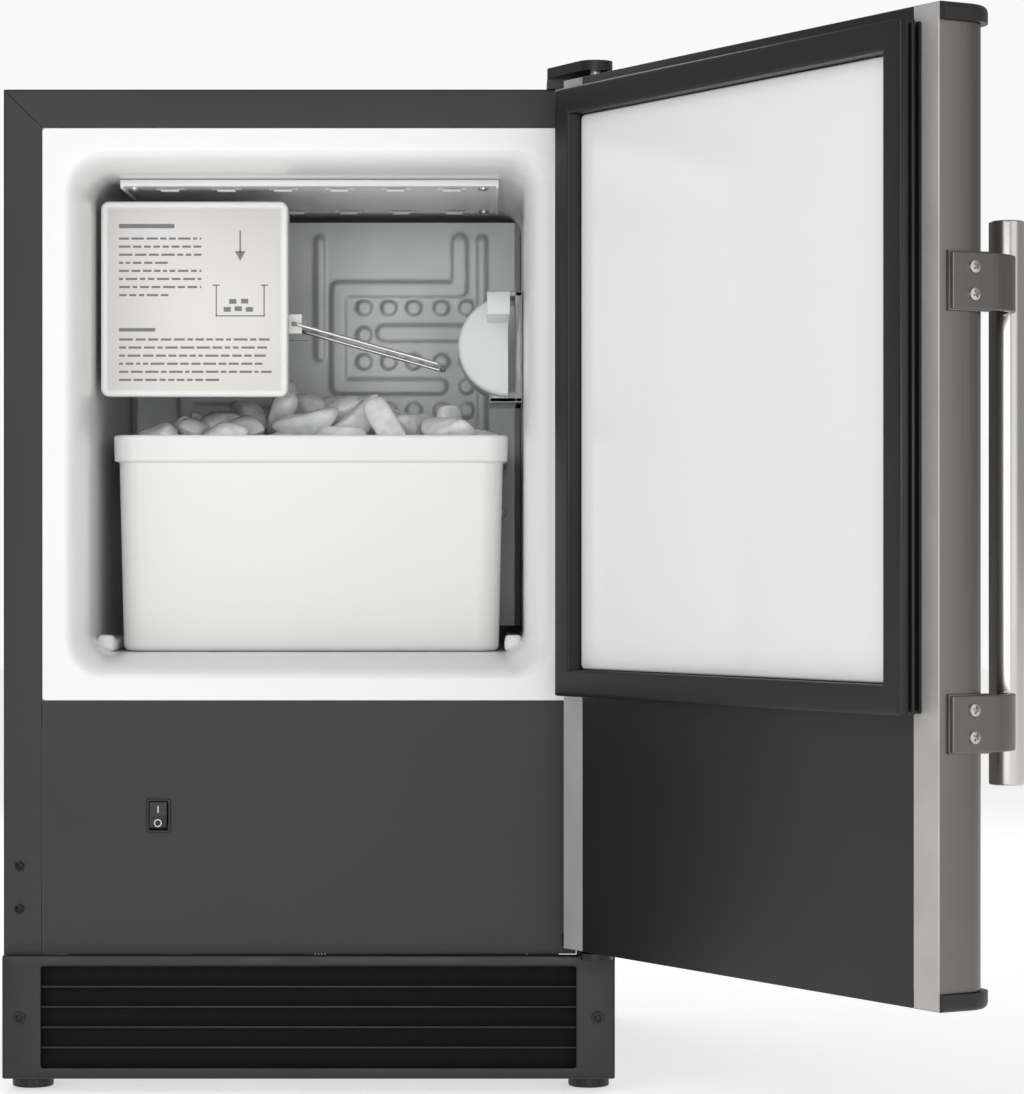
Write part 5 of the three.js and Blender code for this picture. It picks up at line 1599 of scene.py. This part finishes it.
def galvanised_sheet():
    """Hot-dip zinc: grey metal whose crystals, about 9 mm wide, each take the light a little differently."""
    material, shader = surface("galvanised_sheet", "9da0a2", 0.42, metallic=0.8)
    where = add_node(material, "ShaderNodeTexCoord")
    crystals = add_node(
        material, "ShaderNodeTexVoronoi",
        {"Vector": where.outputs["Object"], "Scale": 110.0, "Randomness": 1.0},
    )
    level = add_node(material, "ShaderNodeSeparateColor", {0: crystals.outputs["Color"]})
    rough = remap(material, level.outputs[0], (0.34, 0.52))
    material.node_tree.links.new(rough, shader.inputs["Roughness"])
    tone = add_node(material, "ShaderNodeValToRGB", {0: level.outputs[1]})
    tone.color_ramp.elements[0].color = linear("94979a")
    tone.color_ramp.elements[1].color = linear("a6a9ab")
    material.node_tree.links.new(tone.outputs["Color"], shader.inputs["Base Color"])
    return material


galvanised = galvanised_sheet()
rear_low, rear_high = span("rear_panel")
put(
    "rear_panel_sheet", [block(rear_low, rear_high, 0.5)],
    galvanised, "cabinet", ["rear_panel"],
)
rear_rows = np.linspace(rear_low[2] + 14, rear_high[2] - 14, 4)
rear_screws = [(x, rear_high[1], z, x + z) for x in (rear_low[0] + 9, rear_high[0] - 9) for z in rear_rows]
rear_screws += [(x, rear_high[1], z, x) for x in (-62, 62) for z in rear_rows[[0, -1]]]
put_screws("rear_panel_screws", rear_screws, (0, 1, 0), 3.4, 1.9, screw_steel)
for node in ("machine_deck", "base_pan", "fan_shroud"):
    dress(node, galvanised)
soften(node_objects["base_pan"], 0.5, 2)

# ---- Condenser ----
# Copper tubes pass back and forth through a pack of thin aluminium fins between two galvanised end
# plates.


def fin_aluminium():
    """Bare aluminium fin stock: bright and thin, slightly dulled."""
    material, shader = surface("aluminium_fin_stock", "b4b7b9", 0.4, metallic=0.9)
    grain(material, shader, 2.0, 0.01)
    return material


def drawn_copper():
    """Drawn copper tube, lightly tarnished: brown patches over a warm metal."""
    material, shader = surface("drawn_copper_tube", "b87452", 0.32, metallic=1.0)
    mottle(material, shader, ("a8603f", "c98766"), 14)
    grain(material, shader, 0.6, 0.006)
    return material


copper = drawn_copper()
coil_low, coil_high = span("condenser")
sill, fin_count, pass_radius = 8.0, 96, 3.4
coil_low[2] += sill


def fins():
    """Thin plates at an even pitch, each a box with its front and back edges square."""
    box_faces = [(0, 1, 3, 2), (4, 6, 7, 5), (0, 4, 5, 1), (2, 3, 7, 6), (0, 2, 6, 4), (1, 5, 7, 3)]
    parts = []
    for x in np.linspace(coil_low[0] + 4, coil_high[0] - 4, fin_count):
        points = np.array([
            (x + dx, y, z) for dx in (-0.09, 0.09) for y in (coil_low[1] + 0.6, coil_high[1] - 0.6)
            for z in (coil_low[2] + 0.6, coil_high[2] - 0.6)
        ])
        parts.append((points, box_faces))
    return parts


put("condenser_fins", fins(), fin_aluminium(), "cabinet", ["condenser"])
end_plates = [
    block(coil_low - (0, 0, 7.6), (coil_low[0] + 1.6, coil_high[1], coil_high[2]), 0.5),
    block((coil_high[0] - 1.6, coil_low[1], coil_low[2] - 7.6), coil_high, 0.5),
]
rails = [
    block(coil_low + (0.4, 0.4, -7.9), (coil_high[0] - 0.4, coil_high[1] - 0.4, coil_low[2] - 6.7), 0.4),
    block((coil_low[0] + 0.4, coil_low[1], coil_high[2] - 1.2), coil_high - (0.4, 0, 0.1), 0.4),
]
put("condenser_end_plates", end_plates + rails, galvanised, "cabinet")


def coil_tubes():
    """Straight passes through the fins, joined in pairs by return bends past either end plate."""
    parts = []
    for y in (coil_low[1] + 8.5, coil_high[1] - 8.5):
        heights = np.linspace(coil_low[2] + 12, coil_high[2] - 12, 6)
        for z in heights:
            straight = [(coil_low[0] - 1.0, y, z), (coil_high[0] + 1.0, y, z)]
            parts.append(tube(straight, pass_radius, 5, sides=16))
        for i, (z, above) in enumerate(zip(heights[:-1], heights[1:])):
            side = coil_low[0] - 0.8 if i % 2 else coil_high[0] + 0.8
            out = side + (-11 if i % 2 else 11)
            hairpin = [(side, y, z), (out, y, z), (out, y, above), (side, y, above)]
            parts.append(tube(hairpin, pass_radius, 9.5, sides=16))
    return parts


put("condenser_tubes", coil_tubes(), copper, "cabinet")

# ---- Fan ----
# A black moulded propeller on the shaft of a small shaded-pole motor, blowing through the shroud's duct.


def fan_blades():
    """Five blades: each a surface over radius and width whose pitch falls and whose sweep grows outwards."""
    low, high = span("fan_blade")
    centre_x, centre_z = (low[0] + high[0]) / 2, (low[2] + high[2]) / 2
    middle_y, root, tip = (low[1] + high[1]) / 2, 11.5, (high[0] - low[0]) / 2 - 0.3
    blade_count, half_thickness, depth_limit = 5, 0.95, 9.4
    around = full_turn(20)
    profile = [(3.4, 8), (12.2, 8), (13, 7.2), (13, -6.6), (12.2, -7.8), (9, -8), (0, -8)]
    parts = [turned([(0, 4.0), (3.4, 4.0), *profile], (centre_x, middle_y, centre_z), "y", sides=48)]
    share = np.linspace(0, 1, 14)
    for k in range(blade_count):
        rings = []
        for s in share:
            radius = root + (tip - root) * s
            pitch = np.radians(42 - 17 * s)
            half = 0.5 * (16 + 15 * s - 12 * s**5)
            sweep = 0.18 * s**1.5
            chord = half * np.cos(around)
            lift = half_thickness * np.sin(around) + 1.6 * (1 - (chord / half) ** 2)
            along = chord * np.cos(pitch) - lift * np.sin(pitch)
            depth = np.clip(chord * np.sin(pitch) + lift * np.cos(pitch), -depth_limit, depth_limit)
            angle = 2 * np.pi * k / blade_count + sweep + along / radius
            x, z = centre_x + radius * np.cos(angle), centre_z + radius * np.sin(angle)
            rings.append(np.stack([x, middle_y + depth, z], -1))
        parts.append(skin(np.array(rings)))
    return parts


put("fan_propeller", fan_blades(), black_plastic, "fan", ["fan_blade"])


def fan_motor():
    """A drum with rounded shoulders and a stack of laminations round its waist, on a folded foot."""
    low, high = span("fan_motor")
    x, z = -48.0, 79.7
    front, back = high[1] - 34, high[1]
    can = [
        (0, front), (18, front), (21.5, front + 1.2), (22.5, front + 4),
        (22.5, back - 5), (21, back - 1.4), (17, back), (0, back),
    ]
    waist = [(22, front + 10), (24.4, front + 10)]
    for i in range(9):
        at = front + 10 + i * 1.5
        waist += [(25.0, at + 0.2), (25.0, at + 1.1), (24.4, at + 1.3)]
    waist += [(22, front + 24)]
    spindle = [(0, low[1] + 1), (3.1, low[1] + 1), (3.1, front + 0.5), (0, front + 0.5)]
    foot_corner = (x - 18, front + 12, low[2])
    upright = block(foot_corner, (x + 18, front + 13.6, z - 18), 0.5)
    sole = block(foot_corner, (x + 18, front + 24, low[2] + 1.8), 0.5)
    return (
        [turned(can, (x, 0, z), "y"), turned(spindle, (x, 0, z), "y")],
        [turned(waist, (x, 0, z), "y", closed=True)],
        [upright, sole],
    )


motor_can, motor_waist, motor_foot = fan_motor()
put("fan_motor_can", motor_can, black_zinc, "cabinet", ["fan_motor"])
put("fan_motor_laminations", motor_waist, aluminium, "cabinet")
put("fan_motor_foot", motor_foot, galvanised, "cabinet")

# ---- Compressor ----
# A drawn steel shell in two halves, welded round its waist and enamelled black, on four rubber mounts;
# a plastic cover over the terminals holds the relay.


def black_shell_enamel():
    """Baked enamel over drawn steel: black, glossy, a little uneven."""
    material, shader = surface("black_shell_enamel", "121213", 0.25, coat=0.4)
    grain(material, shader, 4, 0.05)
    return material


pot_low, pot_high = span("compressor")
pot_x, pot_y, pot_r = 78.0, 266.0, 62.0
pot_seat = pot_low[2] + 6.0


def compressor_shell():
    """The shell's outline spun round, with the lap weld as a raised bead, on a dished steel platform."""
    r, seat, top = pot_r, pot_seat, pot_high[2]
    turn = quarter(12)
    profile = [(0, seat - 6), (r * 0.5, seat - 6)]
    profile += [(r * 0.5 + r * 0.48 * np.sin(a), seat - 6 + 42 * (1 - np.cos(a))) for a in turn]
    weld = seat + 84
    profile += [
        (r * 0.98, weld - 7), (r * 0.985, weld - 3), (r - 0.6, weld - 2), (r, weld - 0.6),
        (r, weld + 0.6), (r - 0.6, weld + 2), (r * 0.97, weld + 3),
    ]
    profile += [(r * 0.97 * np.cos(a) ** 0.8, top - 66 + 66 * np.sin(a)) for a in turn[:-1]]
    profile += [(0, top)]
    return turned(profile, (pot_x, pot_y, 0), sides=80)


def platform():
    """A rounded plate with turned-up edges; its corners sit on the mounts."""
    half_x, half_y, z = 79.6, 61.6, pot_seat + 0.5
    plate = np.array([pot_x - half_x, pot_x + half_x, pot_y - half_y, pot_y + half_y])
    stations = [
        inset(plate, 0.6, 9.6, z), inset(plate, 0, 10, z + 0.6), inset(plate, 0, 10, z + 3.0),
        inset(plate, 0.5, 9.7, z + 3.3), inset(plate, 1.6, 9, z + 3.0),
    ]
    return skin(nested(stations, "z", steps=5))


put(
    "compressor_shell", [compressor_shell(), platform()],
    black_shell_enamel(), "cabinet", ["compressor"],
)
pot_side = np.array([pot_x - pot_r, pot_y, pot_seat])
relay_cover = block(pot_side + (-13, -22, 36), pot_side + (6, 22, 92), 3.0, 4)
put("compressor_relay_cover", [relay_cover], black_plastic, "cabinet")


def mount_rubber():
    """Black natural rubber, matt."""
    material, shader = surface("black_mount_rubber", "1a1a1a", 0.7)
    grain(material, shader, 1.0, 0.03)
    return material


rubber = mount_rubber()
for number in (1, 2, 3, 4):
    node = f"compressor_mount_{number}"
    low, high = span(node)
    foot_z, seat_z = low[2], low[2] + 24
    waist = np.linspace(0, 1, 25)
    profile = [(0, foot_z), (9.4, foot_z)]
    for s in waist:
        profile.append((9.2 + 0.8 * np.cos(6 * np.pi * s), foot_z + 0.6 + (seat_z - foot_z - 1.2) * s))
    profile += [(9, seat_z), (5, seat_z), (5, seat_z + 3.6), (7.6, seat_z + 3.6)]
    profile += [(8, seat_z + 4.4), (7, high[2]), (0, high[2])]
    put(
        f"{node}_rubber", [turned(profile, ((low[0] + high[0]) / 2, (low[1] + high[1]) / 2, 0))],
        rubber, "cabinet", [node],
    )

# ---- Refrigerant lines ----
# Copper tube from the compressor to the condenser, from there to the drier, and back from the
# evaporator as the suction line.

line_low, line_high, line_y, line_radius = 33.7, 121.7, 39, 3.2
coil_end, drier_x = coil_high[0] + 0.3, coil_high[0] + 44
pot_front = pot_y - pot_r - 0.3
discharge = [(coil_end, line_y, line_high), (pot_x, line_y, line_high), (pot_x, pot_front, line_high)]
liquid = [(coil_end, line_y, line_low), (drier_x, line_y, line_low), (drier_x, 61.7, line_low)]
for node, path, bend in (("discharge_line", discharge, 14), ("liquid_line", liquid, 12)):
    put(f"{node}_tube", [tube(path, line_radius, bend)], copper, "cabinet", [node])
suction_low, suction_high = span("suction_line")
suction_x, suction_radius, plate_exit = pot_x + 28, 4.0, (301.8, 299)
chase, suction_z = suction_high[1] - suction_radius, suction_low[2] + suction_radius
suction = [
    (suction_x, *plate_exit), (suction_x, chase, plate_exit[1]), (suction_x, chase, suction_z),
    (suction_x, pot_y + pot_r * 0.92, suction_z),
]
put(
    "suction_line_tube", [tube(suction, suction_radius, 12)],
    copper, "cabinet", ["suction_line"],
)
turn, drier_long = quarter(7), 92
drier_profile = [(0, 0), (3.6, 0), (3.6, 5)]
drier_profile += [(3.6 + 6.4 * np.sin(a), 5 + 10 * (1 - np.cos(a))) for a in turn[1:]]
drier_profile += [(3 + 7 * np.cos(a), drier_long - 16 + 10 * np.sin(a)) for a in turn]
drier_profile += [(3, drier_long), (0, drier_long)]
put(
    "filter_drier_shell", [turned(drier_profile, (drier_x, span("filter_drier")[0][1], line_low), "y")],
    copper, "cabinet", ["filter_drier"],
)

# ---- Water valve and power inlet ----
# A white plastic solenoid valve feeds the fill tube; the mains socket beside it takes a separate cord.


def coil_enamel():
    """The valve coil's moulded jacket: deep blue-grey, half glossy."""
    material, shader = surface("valve_coil_jacket", "3a4148", 0.4)
    grain(material, shader, 1.2, 0.02)
    return material


dress("water_valve", white_abs)
soften(node_objects["water_valve"], 0.9, 3)
valve_corner = span("water_valve")[0]
valve_jacket = block(valve_corner + (-1.2, 0.8, 26.6), valve_corner + (28, 25.2, 63.2), 1.8, 3)
terminals = [block(valve_corner + (x, 9, 62), valve_corner + (x + 1, 15, 69), 0.3, 1) for x in (8, 18)]
put("valve_coil", [valve_jacket, *terminals], coil_enamel(), "cabinet")
dress("power_inlet", black_plastic)
soften(node_objects["power_inlet"], 0.8, 3)
inlet_low, inlet_high = span("power_inlet")
inlet_middle = np.array([(inlet_low[0] + inlet_high[0]) / 2, inlet_high[1], inlet_high[2] - 14])
pins = [
    block(inlet_middle + (x - 2, -17.5, z - 1), inlet_middle + (x + 2, -3, z + 1), 0.5)
    for x, z in ((-7, -2), (7, -2), (0, 3.5))
]
put("power_inlet_pins", pins, screw_steel, "cabinet")
